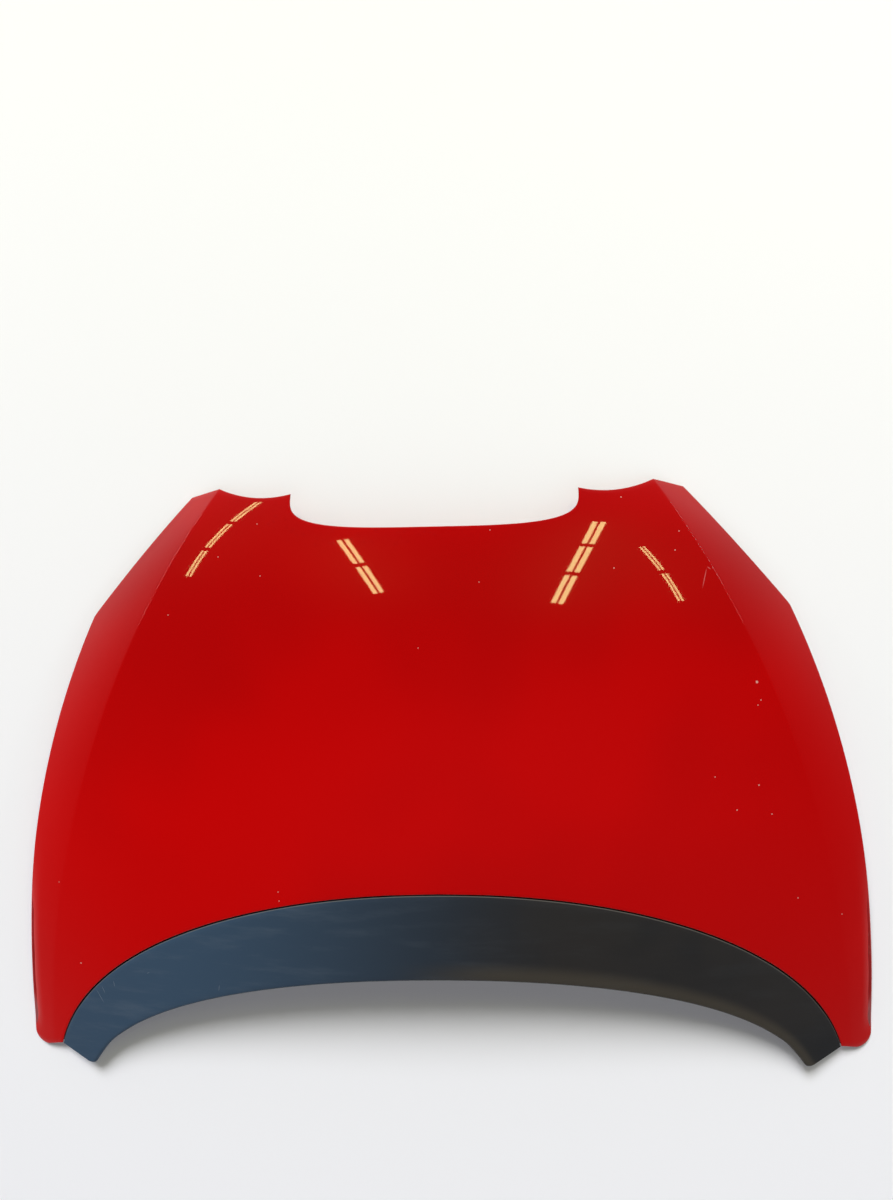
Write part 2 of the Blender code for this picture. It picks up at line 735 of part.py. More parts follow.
def build_trim(rim, arch_count, look):
    """The plastic moulding along the windscreen: a shelf under the hem, a face and a rolled lip."""
    points = []
    near = HEM_R + TRIM_GAP
    for index in range(arch_count):
        point, way = rim[index]
        if index == arch_count - 1:
            way = Vector((-math.cos(TRIM_END_ANGLE), -math.sin(TRIM_END_ANGLE)))
        share = min(point.x / ARCH_END_X, 1.0)
        width = trim_width(share)
        lip = TRIM_LIP - (TRIM_LIP - TRIM_LIP_END) * smooth_step(share, *TRIM_LIP_FADE)
        shelf_d = LEDGE_D + INNER_T + REST_GAP
        shelf_d -= (shelf_d - TRIM_SHELF_END_D) * smooth_step(share, TRIM_FLANGE_FADE[1], 1.0)
        flange = TRIM_FLANGE_END
        flange += (TRIM_FLANGE - TRIM_FLANGE_END) * smooth_step(share, *reversed(TRIM_FLANGE_FADE))
        round_r = TRIM_EDGE_R
        section = [
            (-flange, shelf_d), (near, shelf_d), (near, TRIM_SINK + TRIM_NOSE_R),
            (near + TRIM_NOSE_R, TRIM_SINK)]
        section += [(near + (width - near) * part, TRIM_SINK) for part in TRIM_FACE_SHARES]
        section.append((width - round_r, TRIM_SINK))
        for angle in TRIM_EDGE_ANGLES:
            turn = math.radians(angle)
            section.append((width - round_r * (1 - math.sin(turn)),
                            TRIM_SINK + round_r * (1 - math.cos(turn))))
        section.append((width, TRIM_SINK + round_r + lip))
        for out, depth in section:
            place = point + way * out
            points.append(below(place.x, place.y, depth))
    size = len(section)
    faces = []
    for i in range(arch_count - 1):
        for j in range(size - 1):
            corner = i * size + j
            faces.append((corner, corner + 1, corner + size + 1, corner + size))
    trim = add_object("windscreen_trim", mesh_from("windscreen_trim", points, faces), look)
    add_mirror(trim)
    add_thickness(trim, TRIM_T)
    return trim


def turned(name, profile, look, segments=16):
    """A turned piece from a profile of (radius, height) points, top to bottom."""
    mesh = bpy.data.meshes.new(name)
    verts = [(radius, 0.0, height) for radius, height in profile]
    mesh.from_pydata(verts, [(k, k + 1) for k in range(len(verts) - 1)], [])
    made = add_object(name, mesh, look, smooth=False)
    screw = made.modifiers.new("turn", "SCREW")
    screw.steps = segments
    screw.render_steps = segments
    screw.use_merge_vertices = True
    screw.merge_threshold = 0.0001
    screw.use_smooth_shade = False
    return made


def stand(made, x, y, depth):
    """Puts a piece's origin depth under the painted face, square to it."""
    made.location = below(x, y, depth)
    made.rotation_euler = skin_normal(x, y).to_track_quat("Z", "Y").to_euler()


def cutter(name, radius, length, places):
    """One wire-drawn object of separate drills, each at a place with its direction."""
    shape = bmesh.new()
    for origin, direction in places:
        turn = direction.to_track_quat("Z", "Y").to_matrix().to_4x4()
        bmesh.ops.create_cone(shape, cap_ends=True, segments=12, radius1=radius, radius2=radius,
                              depth=length, matrix=Matrix.Translation(origin) @ turn)
    mesh = bpy.data.meshes.new(name)
    shape.to_mesh(mesh)
    shape.free()
    made = bpy.data.objects.new(name, mesh)
    bpy.data.collections["cutters"].objects.link(made)
    made.hide_render = True
    made.display_type = "WIRE"
    return made


def cut(target, tool):
    boolean = target.modifiers.new("cut_" + tool.name, "BOOLEAN")
    boolean.operation = "DIFFERENCE"
    boolean.solver = "EXACT"
    boolean.object = tool


def build_clips(trim, clips, look):
    """Fir-tree clips through the trim's shelf and the inner panel's shelf."""
    under = LEDGE_D + INNER_T + REST_GAP + TRIM_T + CLIP_SEAT_GAP
    drills = []
    number = 0
    for place in clips:
        for side in (-1, 1) if place.x > CLIP_HOLE_R else (1,):
            number += 1
            x = place.x * side
            top = under - LEDGE_D + CLIP_TIP
            profile = [
                (0.0, top), (CLIP_STEM_R * CLIP_TIP_SHARE, top),
                (CLIP_BARB_R, top * CLIP_BARB_UP + CLIP_BARB_EASE),
                (CLIP_STEM_R, under - LEDGE_D + REST_GAP * 2), (CLIP_STEM_R, 0.0),
                (CLIP_HEAD_R, 0.0), (CLIP_HEAD_R * CLIP_RIM_SHARE, -CLIP_HEAD_T),
                (0.0, -CLIP_HEAD_T)]
            stand(turned(f"trim_clip_{number}", profile, look, 12), x, place.y, under)
            drills.append((below(x, place.y, under), skin_normal(x, place.y)))
    cut(trim, cutter("clip_drills", CLIP_HOLE_R, CLIP_DRILL, drills))


def nut_mesh(name, across, height, bore):
    """A hexagonal nut standing on z = 0, whose six-sided bore clears a round of that radius."""
    shape = bmesh.new()
    outer = across / math.sqrt(3)
    bore = bore / math.cos(math.pi / 6)
    rings = []
    count = 6
    for radius, level in ((outer, height), (outer, 0.0), (bore, 0.0), (bore, height)):
        rings.append([shape.verts.new((radius * math.cos(k * math.tau / count),
                                       radius * math.sin(k * math.tau / count), level))
                      for k in range(count)])
    for ring, after in zip(rings, rings[1:] + rings[:1]):
        for k in range(count):
            following = (k + 1) % count
            shape.faces.new((ring[k], after[k], after[following], ring[following]))
    bmesh.ops.recalc_face_normals(shape, faces=shape.faces[:])
    mesh = bpy.data.meshes.new(name)
    shape.to_mesh(mesh)
    shape.free()
    return mesh


def box_mesh(name, size):
    """A box that stands on z = 0, centred in plan."""
    shape = bmesh.new()
    bmesh.ops.create_cube(shape, size=1.0)
    bmesh.ops.scale(shape, vec=size, verts=shape.verts[:])
    bmesh.ops.translate(shape, vec=(0.0, 0.0, size[2] / 2), verts=shape.verts[:])
    mesh = bpy.data.meshes.new(name)
    shape.to_mesh(mesh)
    shape.free()
    return mesh


def build_hinge_mounts(looks):
    """A stiffening plate with two nuts, hidden above each hinge pad."""
    size = (HINGE_PAD[0] - 2 * HINGE_PLATE_EDGE, HINGE_PAD[1] - 2 * HINGE_PLATE_EDGE,
            HINGE_PLATE_T)
    level = hinge_level() + REST_GAP
    for side, word in ((-1, "left"), (1, "right")):
        plate = add_object(f"hinge_plate_{word}", box_mesh("hinge_plate", size), looks["steel"])
        plate.location = (side * HINGE_X, HINGE_Y, level)
        drills = []
        for end, place in ((-1, "rear"), (1, "front")):
            y = HINGE_Y + end * HINGE_HOLE_PITCH / 2
            drills.append((Vector((side * HINGE_X, y, level)), Vector((0, 0, 1))))
            nut = add_object(f"hinge_nut_{word}_{place}",
                             nut_mesh("hinge_nut", NUT_AF, NUT_H, NUT_BORE_R), looks["zinc"],
                             smooth=False)
            nut.location = (side * HINGE_X, y, level + HINGE_PLATE_T + REST_GAP)
        cut(plate, cutter(f"hinge_drills_{word}", HINGE_HOLE_R, HINGE_DRILL, drills))


def build_striker(looks):
    """The lock's striker: stiffening plate, base, wire loop and two bolts with nuts."""
    level = striker_level()
    up = Vector((0, 0, 1))
    half = STRIKER_BOLT_PITCH / 2
    nut_af, nut_h = NUT_AF * STRIKER_NUT_SHARE, NUT_H * STRIKER_NUT_SHARE
    plate_size = (STRIKER_PAD[0] - 2 * HINGE_PLATE_EDGE, STRIKER_BASE[1], HINGE_PLATE_T)
    plate = add_object("striker_plate", box_mesh("striker_plate", plate_size), looks["steel"])
    plate.location = (0.0, STRIKER_Y, level + REST_GAP)
    base_level = level - INNER_T - REST_GAP - STRIKER_BASE[2]
    base = add_object("striker_base", box_mesh("striker_base", STRIKER_BASE), looks["zinc"])
    base.location = (0.0, STRIKER_Y, base_level)
    drills = []
    for side, word in ((-1, "left"), (1, "right")):
        drills.append((Vector((side * half, STRIKER_Y, level)), up))
        top = level + REST_GAP + HINGE_PLATE_T + REST_GAP
        nut = add_object(f"striker_nut_{word}",
                         nut_mesh("striker_nut", nut_af, nut_h, BOLT_R + REST_GAP),
                         looks["zinc"], smooth=False)
        nut.location = (side * half, STRIKER_Y, top)
        shank = top + nut_h - base_level + BOLT_OVER
        profile = [(0.0, shank), (BOLT_R, shank), (BOLT_R, 0.0), (BOLT_HEAD_R, 0.0),
                   (BOLT_HEAD_R, -BOLT_HEAD_T), (0.0, -BOLT_HEAD_T)]
        bolt = turned(f"striker_bolt_{word}", profile, looks["zinc"], 12)
        bolt.location = (side * half, STRIKER_Y, base_level - REST_GAP)
    tool = cutter("striker_drills", BOLT_R + REST_GAP, STRIKER_DRILL, drills)
    cut(plate, tool)
    cut(base, tool)

    curve = bpy.data.curves.new("striker_loop", "CURVE")
    curve.dimensions = "3D"
    curve.bevel_depth = STRIKER_WIRE_R
    curve.bevel_resolution = 2
    curve.use_fill_caps = True
    radius = STRIKER_LOOP_W / 2
    top = base_level - REST_GAP
    route = [(-radius, STRIKER_Y, top)]
    for step in range(STRIKER_BENDS + 1):
        angle = math.pi * step / STRIKER_BENDS
        route.append((-radius * math.cos(angle), STRIKER_Y,
                      top - (STRIKER_LOOP_H - radius) - radius * math.sin(angle)))
    route.append((radius, STRIKER_Y, top))
    spline = curve.splines.new("POLY")
    spline.points.add(len(route) - 1)
    for point, place in zip(spline.points, route):
        point.co = (*place, 1.0)
    curve.materials.append(looks["zinc"])
    loop = bpy.data.objects.new("striker_loop", curve)
    bpy.data.collections[PARTS].objects.link(loop)


def build_buffers(look):
    """Rubber stops whose stems push into holes of the inner panel."""
    under = floor_depth(BUFFER_Y) + INNER_T + REST_GAP
    stem_top = INNER_T + REST_GAP + BUFFER_STEM_OVER
    profile = [(0.0, stem_top), (BUFFER_STEM_R, stem_top - BUFFER_STEM_EASE),
               (BUFFER_STEM_R, 0.0), (BUFFER_R, 0.0), (BUFFER_R, -BUFFER_H * BUFFER_FOOT_SHARE),
               (BUFFER_R * BUFFER_FOOT_SHARE, -BUFFER_H), (0.0, -BUFFER_H)]
    for side, word in ((-1, "left"), (1, "right")):
        stand(turned(f"nose_buffer_{word}", profile, look), side * BUFFER_X, BUFFER_Y, under)


def build_mastic(look):
    """Soft dabs between the skin and the flanges of the pockets."""
    top = SKIN_T + MASTIC_SKIN_GAP
    bottom = POCKET_D - MASTIC_PANEL_GAP
    face_r = MASTIC_R * MASTIC_FACE_SHARE
    profile = [(0.0, 0.0), (face_r, 0.0), (MASTIC_R, (top - bottom) / 2),
               (face_r, top - bottom), (0.0, top - bottom)]
    number = 0
    for name in POCKETS:
        ring = inset_loop(pocket_loop(name), POCKET_RUN + POCKET_FLANGE / 2)
        count = len(ring)
        for index in (int(count * share) for share in MASTIC_PLACES):
            middle = ring[index].lerp(ring[(index + 1) % count], 0.5)
            for side in (-1, 1):
                number += 1
                stand(turned(f"mastic_dab_{number}", profile, look, 12),
                      side * middle.x, middle.y, top)


def rest_on_origin():
    """Moves the whole part so that the middle of its underside box is the origin."""
    bpy.context.view_layer.update()
    graph = bpy.context.evaluated_depsgraph_get()
    low = Vector((1e9, 1e9, 1e9))
    high = -low
    parts = bpy.data.collections[PARTS].objects
    for made in parts:
        solid = made.evaluated_get(graph)
        mesh = solid.to_mesh()
        for vertex in mesh.vertices:
            place = solid.matrix_world @ vertex.co
            low = Vector(map(min, low, place))
            high = Vector(map(max, high, place))
        solid.to_mesh_clear()
    shift = Vector((-(low.x + high.x) / 2, -(low.y + high.y) / 2, -low.z))
    for made in list(parts) + list(bpy.data.collections["cutters"].objects):
        made.location = made.location + shift
    print("size", tuple(round(v, 4) for v in high - low), "shift", tuple(round(v, 5) for v in shift))


def main():
    for old in list(bpy.data.objects):
        bpy.data.objects.remove(old)
    collection(PARTS)
    collection("cutters")
    looks = {
        "paint": material("red_paint", (0.40, 0.002, 0.002), 0.12),
        "inner": material("red_primer_coat", (0.30, 0.004, 0.004), 0.35),
        "plastic": material("grained_plastic", (0.030, 0.032, 0.036), 0.6),
        "steel": material("plate_steel", (0.35, 0.35, 0.36), 0.5, 1.0),
        "zinc": material("zinc_plate", (0.55, 0.54, 0.50), 0.35, 1.0),
        "nylon": material("clip_nylon", (0.05, 0.05, 0.05), 0.5),
        "rubber": material("stop_rubber", (0.02, 0.02, 0.02), 0.8),
        "mastic": material("flutter_mastic", (0.08, 0.08, 0.09), 0.9),
    }
    columns, arch_count = skin_columns()
    rim = skin_rim(columns, arch_count)
    clips = clip_places(rim, arch_count)
    build_outer_skin(columns, rim, looks["paint"])
    build_inner_panel(rim, arch_count, clips, looks["inner"])
    trim = build_trim(rim, arch_count, looks["plastic"])
    build_clips(trim, clips, looks["nylon"])
    build_hinge_mounts(looks)
    build_striker(looks)
    build_buffers(looks["rubber"])
    build_mastic(looks["mastic"])
    rest_on_origin()


main()
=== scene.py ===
import json
import math

import bpy
from mathutils import Matrix, Vector, geometry

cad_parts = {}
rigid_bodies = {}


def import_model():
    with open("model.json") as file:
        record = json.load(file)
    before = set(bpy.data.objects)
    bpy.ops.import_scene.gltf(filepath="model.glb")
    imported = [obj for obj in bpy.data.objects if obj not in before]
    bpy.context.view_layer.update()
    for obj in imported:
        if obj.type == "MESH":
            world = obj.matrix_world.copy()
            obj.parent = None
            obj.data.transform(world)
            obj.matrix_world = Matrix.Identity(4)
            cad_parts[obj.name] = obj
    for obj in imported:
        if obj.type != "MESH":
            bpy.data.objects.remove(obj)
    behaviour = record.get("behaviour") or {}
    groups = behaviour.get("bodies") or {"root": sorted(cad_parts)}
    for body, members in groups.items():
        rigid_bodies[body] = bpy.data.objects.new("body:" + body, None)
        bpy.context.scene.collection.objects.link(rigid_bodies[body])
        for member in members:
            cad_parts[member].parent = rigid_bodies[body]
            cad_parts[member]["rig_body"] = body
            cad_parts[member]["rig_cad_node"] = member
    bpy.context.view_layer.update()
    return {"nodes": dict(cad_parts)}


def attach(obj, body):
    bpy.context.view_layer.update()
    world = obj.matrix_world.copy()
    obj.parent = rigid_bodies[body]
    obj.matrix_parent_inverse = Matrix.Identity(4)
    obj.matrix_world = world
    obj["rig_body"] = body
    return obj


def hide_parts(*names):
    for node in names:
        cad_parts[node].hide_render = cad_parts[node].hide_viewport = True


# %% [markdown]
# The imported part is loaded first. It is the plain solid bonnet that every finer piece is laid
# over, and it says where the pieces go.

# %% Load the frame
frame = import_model()
nodes = frame["nodes"]
print("frame:", len(nodes), "nodes")

# %% [markdown]
# Seen from above, the bonnet is a symmetric panel. Two horns stand at the nose with a notch
# between them, the sides bow out to the rear tips, and an arch follows the windscreen. Such an
# outline could be a long list of points. A few formulas are shorter, give a point anywhere, and
# stay smooth however fine the grid is. Lengths are in metres, x runs across from the middle and
# y runs from the line through the rear tips towards the nose.

# %% Outline
HALF_WIDTH = 0.7255
PEAK_Y = 0.9606          # the foremost points, where the creases reach the nose
SIDE_TAPER = 0.1841 * HALF_WIDTH
SIDE_POWER = 2.245
KINK_Y = 0.7775 * PEAK_Y
HORN_X = 0.583 * HALF_WIDTH
HORN_Y = 0.9873 * PEAK_Y
PEAK_X = 0.511 * HALF_WIDTH
NOTCH_X = 0.3355 * HALF_WIDTH
NOTCH_Y = 0.9855 * PEAK_Y
NOTCH_FLOOR_Y = 0.9206 * PEAK_Y
NOTCH_POWER = 3.563
SCALLOP_SAG = 0.0111
TIP_Y = -0.0069
TIP_CORNER_R = 0.025
ARCH_Y = 0.3089 * PEAK_Y
ARCH_DROP = 0.3817 * PEAK_Y
ARCH_HALF_SPAN = 0.9417 * HALF_WIDTH
ARCH_POWER = 2.071
ARCH_END_X = 0.9274 * HALF_WIDTH
CREASE_MID_X = 0.7974 * HALF_WIDTH
CREASE_MID_Y = 0.5517 * PEAK_Y
CREASE_REAR_X = 0.9483 * HALF_WIDTH


def crease_x(y):
    """The crease is the parabola through its nose, middle and rear points."""
    nose = PEAK_X * y * (y - CREASE_MID_Y) / (PEAK_Y * (PEAK_Y - CREASE_MID_Y))
    middle = CREASE_MID_X * y * (y - PEAK_Y) / (CREASE_MID_Y * (CREASE_MID_Y - PEAK_Y))
    rear = CREASE_REAR_X * (y - CREASE_MID_Y) * (y - PEAK_Y) / (CREASE_MID_Y * PEAK_Y)
    return nose + middle + rear


def side_x(y):
    """The side bows in up to the kink, and runs straight from there to the horn."""
    if y <= KINK_Y:
        return HALF_WIDTH - SIDE_TAPER * (max(y, 0.0) / KINK_Y) ** SIDE_POWER
    share = (y - KINK_Y) / (HORN_Y - KINK_Y)
    return (HALF_WIDTH - SIDE_TAPER) * (1 - share) + HORN_X * share


def nose_y(x):
    """The nose edge: the notch, then the scallop, then the short straight end of the horn."""
    if x <= NOTCH_X:
        bow = (1 - (max(x, 0.0) / NOTCH_X) ** NOTCH_POWER) ** (1 / NOTCH_POWER)
        return NOTCH_FLOOR_Y + (NOTCH_Y - NOTCH_FLOOR_Y) * (1 - bow)
    if x <= PEAK_X:
        share = (x - NOTCH_X) / (PEAK_X - NOTCH_X)
        chord = NOTCH_Y + (PEAK_Y - NOTCH_Y) * share
        return chord - 4 * SCALLOP_SAG * share * (1 - share)
    return PEAK_Y + (HORN_Y - PEAK_Y) * (x - PEAK_X) / (HORN_X - PEAK_X)


def arch_y(x):
    bow = 1 - min(max(x, 0.0) / ARCH_HALF_SPAN, 1.0) ** ARCH_POWER
    return ARCH_Y - ARCH_DROP * (1 - bow ** (1 / ARCH_POWER))


def rear_y(x):
    """The rear edge: the arch, the short edge of the tip, and its rounded corner."""
    if x <= ARCH_END_X:
        return arch_y(x)
    turn = x - (HALF_WIDTH - TIP_CORNER_R)
    if turn <= 0:
        share = (x - ARCH_END_X) / (HALF_WIDTH - TIP_CORNER_R - ARCH_END_X)
        return arch_y(ARCH_END_X) * (1 - share) + TIP_Y * share
    return TIP_Y + TIP_CORNER_R - math.sqrt(max(TIP_CORNER_R ** 2 - turn ** 2, 0.0))


print("outline:", round(2 * HALF_WIDTH, 4), "m wide,", round(PEAK_Y - TIP_Y, 4), "m long")

# %% [markdown]
# The painted face is crowned both ways, breaks down at the two creases, and rolls down at the
# side edges behind the middle. Its height is a sum of those parts, each a smooth formula, so the
# gloss runs over it without ripples. The slope is measured from the height over a short step. It
# says how far straight down a point must go to be a given depth under the sloping face.

# %% Height of the painted face
SHIFT = Vector((0.0, -0.4627145, 0.0109008))     # from the outline's own axes to the frame
CROWN_Z = 0.112
CROWN_Y = 0.4372 * PEAK_Y
REAR_SLOPE = 0.0229 / PEAK_Y
LENGTH_CURVE = 0.143 / PEAK_Y ** 2
NOSE_CURVE = 0.0574 / (PEAK_Y - CROWN_Y) ** 4
CROSS_CURVE = 0.0908 / HALF_WIDTH ** 2
FLANK_CURVE = 0.0026 / (0.1 * HALF_WIDTH) ** 2
CREASE_R = 0.0018        # how soft the crease is at its ridge
CREASE_BREAK_NOSE = 0.30
CREASE_BREAK_REAR = 0.04
CREASE_FADE_Y = (0.26 * PEAK_Y, 0.956 * PEAK_Y)
ROLL_W = 0.020           # the side edge turns down over this width
ROLL_DROP = 0.0032
ROLL_LIMIT = 1.2         # in widths, how far the roll goes on past the edge
ROLL_IN_Y = (0.004, 0.050)       # over which it sets in behind the tip's corner
ROLL_OUT_Y = (0.16, 0.40)        # over which it fades away forwards
SLOPE_STEP = 0.0005


def smooth_step(value, low, high):
    share = min(max((value - low) / (high - low), 0.0), 1.0)
    return share * share * (3 - 2 * share)


def skin_z(x, y):
    across = abs(x)
    height = CROWN_Z + REAR_SLOPE * y - LENGTH_CURVE * (y - CROWN_Y) ** 2
    height -= NOSE_CURVE * max(y - CROWN_Y, 0.0) ** 4 + CROSS_CURVE * across ** 2
    past = across - crease_x(y)
    flank = (past + math.sqrt(past ** 2 + CREASE_R ** 2)) / 2
    slope_break = CREASE_BREAK_REAR
    slope_break += (CREASE_BREAK_NOSE - CREASE_BREAK_REAR) * smooth_step(y, *CREASE_FADE_Y)
    roll = max(across - side_x(y) + ROLL_W, 0.0) / ROLL_W
    roll_share = smooth_step(y, *ROLL_IN_Y) * (1 - smooth_step(y, *ROLL_OUT_Y))
    height -= ROLL_DROP * roll_share * min(roll, ROLL_LIMIT) ** 2
    return height - slope_break * flank - FLANK_CURVE * flank ** 2


def skin_normal(x, y):
    slope_x = (skin_z(x + SLOPE_STEP, y) - skin_z(x - SLOPE_STEP, y)) / (2 * SLOPE_STEP)
    slope_y = (skin_z(x, y + SLOPE_STEP) - skin_z(x, y - SLOPE_STEP)) / (2 * SLOPE_STEP)
    return Vector((-slope_x, -slope_y, 1.0)).normalized()


def below(x, y, depth):
    """The frame point straight under (x, y), depth under the painted face square to it."""
    return Vector((x, y, skin_z(x, y) - depth / skin_normal(x, y).z)) + SHIFT


print("height at the middle:", round(skin_z(0.0, CROWN_Y) + SHIFT.z, 4), "m")

# %% [markdown]
# A grid bends cleanly over this face if its lines follow the edges. Each column runs from the
# rear edge to the nose, at a fixed share of the way from the middle to the crease or from the
# crease to the side, so one column lies on the crease itself. The columns stand closer where the
# outline turns and beside the crease, and the rows are even.

# %% Columns
NOTCH_COLUMNS = 30
HORN_COLUMNS = 22
HORN_CROWDING = 1.7      # how much closer the columns stand towards the arch's end
RIDGE_COLUMNS = (0.30, 0.55, 0.75, 0.88, 0.95, 0.985, 0.993, 0.9965, 0.9985)
FLANK_COLUMNS = (0.0, 0.006, 0.014, 0.026, 0.05, 0.10, 0.17, 0.25)
CORNER_COLUMNS = 14
ROW_COUNT = 120
SEARCH_MARGIN = 0.1
SEARCH_HALVINGS = 50


def column_rules():
    """For each column, from the middle line to the side, its x as a function of y."""
    notch_share = NOTCH_X / crease_x(NOTCH_Y)
    arch_share = ARCH_END_X / crease_x(arch_y(ARCH_END_X))
    corner = (HALF_WIDTH - TIP_CORNER_R - crease_x(TIP_Y)) / (HALF_WIDTH - crease_x(TIP_Y))
    inside = [notch_share * math.sin(math.pi / 2 * k / NOTCH_COLUMNS) ** (2 / NOTCH_POWER)
              for k in range(NOTCH_COLUMNS + 1)]
    horn = arch_share - notch_share
    inside += [notch_share + horn * (1 - (1 - k / HORN_COLUMNS) ** HORN_CROWDING)
               for k in range(1, HORN_COLUMNS + 1)]
    inside += [arch_share + (1 - arch_share) * share for share in RIDGE_COLUMNS]
    flank = list(FLANK_COLUMNS)
    flank += [corner + (1 - corner) * math.sin(math.pi / 2 * k / CORNER_COLUMNS)
              for k in range(CORNER_COLUMNS + 1)]
    rules = [lambda y, s=share: s * crease_x(y) for share in inside]
    rules += [lambda y, s=share: crease_x(y) + s * (side_x(y) - crease_x(y)) for share in flank]
    return rules


def crossing(edge, across):
    """The y at which a column meets an edge, found by halving."""
    low, high = -SEARCH_MARGIN, PEAK_Y + SEARCH_MARGIN
    for _ in range(SEARCH_HALVINGS):
        middle = (low + high) / 2
        if edge(across(middle)) > middle:
            low = middle
        else:
            high = middle
    return (low + high) / 2


def column_point(column, share):
    rule, rear, front = column
    y = rear + share * (front - rear)
    return Vector((rule(y), y))


rules = column_rules()
columns = [(rule, crossing(rear_y, rule), crossing(nose_y, rule)) for rule in rules]
columns[-1] = (rules[-1], TIP_Y + TIP_CORNER_R, HORN_Y)
rows = [k / (ROW_COUNT - 1) for k in range(ROW_COUNT)]
print("grid:", len(columns), "columns,", len(rows), "rows")

# %% [markdown]
# The hem and the sealer both run along the edge, so the rim of the half grid is kept as points
# with their outward directions. A line moved in past a sharp corner would cross itself. Points
# that end up too near to the old rim are therefore spread evenly between those that don't.

# %% Rim
CORNER_LIMIT = 0.5       # keeps a sharp corner's point from running far out
OVERTAKEN = 0.97         # share of the move that a point must end up away from the old rim


def rim_of(points):
    rim = []
    for index, point in enumerate(points):
        directions = []
        if index > 0:
            directions.append((point - points[index - 1]).normalized())
        if index < len(points) - 1:
            directions.append((points[index + 1] - point).normalized())
        outward = [Vector((d.y, -d.x)) for d in directions]
        if len(outward) == 1:
            way = Vector((0.0, math.copysign(1.0, outward[0].y)))
        else:
            way = (outward[0] + outward[1]).normalized()
            way /= max(way.dot(outward[0]), CORNER_LIMIT)
        rim.append((point, way))
    return rim


def gap_to(place, start, end):
    """Distance from a place to a straight piece of the rim."""
    foot, share = geometry.intersect_point_line(place, start, end)
    if 0.0 <= share <= 1.0:
        return (place - foot.to_2d()).length
    return min((place - start).length, (place - end).length)


def moved_rim(rim, out):
    """The rim moved out by a length, with overtaken points spread between the others."""
    places = [point + way * out for point, way in rim]
    spans = [(before[0], after[0]) for before, after in zip(rim, rim[1:])]
    kept = [index for index, place in enumerate(places)
            if min(gap_to(place, *span) for span in spans) > abs(out) * OVERTAKEN]
    for before, after in zip(kept, kept[1:]):
        for index in range(before + 1, after):
            share = (index - before) / (after - before)
            places[index] = places[before].lerp(places[after], share)
    return places


rim = rim_of([column_point(c, 0.0) for c in columns]
             + [column_point(columns[-1], share) for share in rows[1:-1]]
             + [column_point(c, 1.0) for c in reversed(columns)])
print("rim:", len(rim), "points")

# %% [markdown]
# Modelling by script follows the same moves as by hand: select one object, enter edit mode, run
# an operator, leave. Operators act on whatever is selected, so the helpers clear the selection
# first. Every finished piece then rides on the part's one body and takes its material slot.


# %% Modelling helpers
def pick(piece):
    bpy.ops.object.select_all(action="DESELECT")
    piece.select_set(True)
    bpy.context.view_layer.objects.active = piece


def name_it(name):
    piece = bpy.context.object
    piece.name = name
    piece.data.name = name
    return piece


def edit(piece, chosen=None):
    """Enters edit mode with those vertices selected, or with all of them."""
    pick(piece)
    for part in (piece.data.vertices, piece.data.edges, piece.data.polygons):
        part.foreach_set("select", [chosen is None] * len(part))
    for index in chosen or ():
        piece.data.vertices[index].select = True
    bpy.ops.object.mode_set(mode="EDIT")
    bpy.ops.mesh.select_mode(type="VERT")


def leave():
    bpy.ops.object.mode_set(mode="OBJECT")


def face_up(piece):
    """Turns an open sheet's faces the same way, with most of them looking up."""
    edit(piece)
    bpy.ops.mesh.normals_make_consistent(inside=False)
    leave()
    if sum(face.normal.z * face.area for face in piece.data.polygons) < 0:
        edit(piece)
        bpy.ops.mesh.flip_normals()
        leave()


def apply_modifier(piece, kind, **settings):
    pick(piece)
    bpy.ops.object.modifier_add(type=kind)
    made = piece.modifiers[-1]
    for key, value in settings.items():
        setattr(made, key, value)
    bpy.ops.object.modifier_apply(modifier=made.name)


def grid(name, across, along):
    """A flat grid whose points are numbered row by row, with across points in each row."""
    bpy.ops.object.select_all(action="DESELECT")
    bpy.ops.mesh.primitive_grid_add(x_subdivisions=across - 1, y_subdivisions=along - 1, size=1)
    return name_it(name)


def place_points(piece, places):
    for vertex, place in zip(piece.data.vertices, places):
        vertex.co = place


def finish_piece(piece, node, look, angle):
    """Smooths a piece up to an angle, gives it its look, and lays it over its node, if any."""
    pick(piece)
    bpy.ops.object.shade_smooth_by_angle(angle=math.radians(angle))
    piece.data.materials.clear()
    piece.data.materials.append(look)
    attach(piece, "root")
    if node:
        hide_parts(node)
    print("made", piece.name, len(piece.data.polygons), "faces")


# %% [markdown]
# Shader maths reads better as plain sums. The small class wraps a node's output and turns the
# usual signs into Math nodes, and any other node comes from one function that takes its
# settings first and then the values or links of its sockets.


# %% Shader maths
def link(tree, slot, value):
    if isinstance(value, Term):
        tree.links.new(value.socket, slot)
    elif isinstance(value, (int, float)):
        slot.default_value = value
    else:
        size = len(slot.default_value)
        slot.default_value = tuple(value) if len(value) == size else (*value, 1.0)


def add_node(tree, kind, out=0, settings=(), feed=(), **named):
    """Adds a node. Its sockets are fed by number, as a list or by index, or by name."""
    made = tree.nodes.new("ShaderNode" + kind)
    for key, value in dict(settings).items():
        setattr(made, key, value)
    by_number = feed.items() if isinstance(feed, dict) else enumerate(feed)
    for index, value in by_number:
        link(tree, made.inputs[index], value)
    for key, value in named.items():
        link(tree, made.inputs[key.replace("_", " ")], value)
    return Term(tree, made.outputs[out])


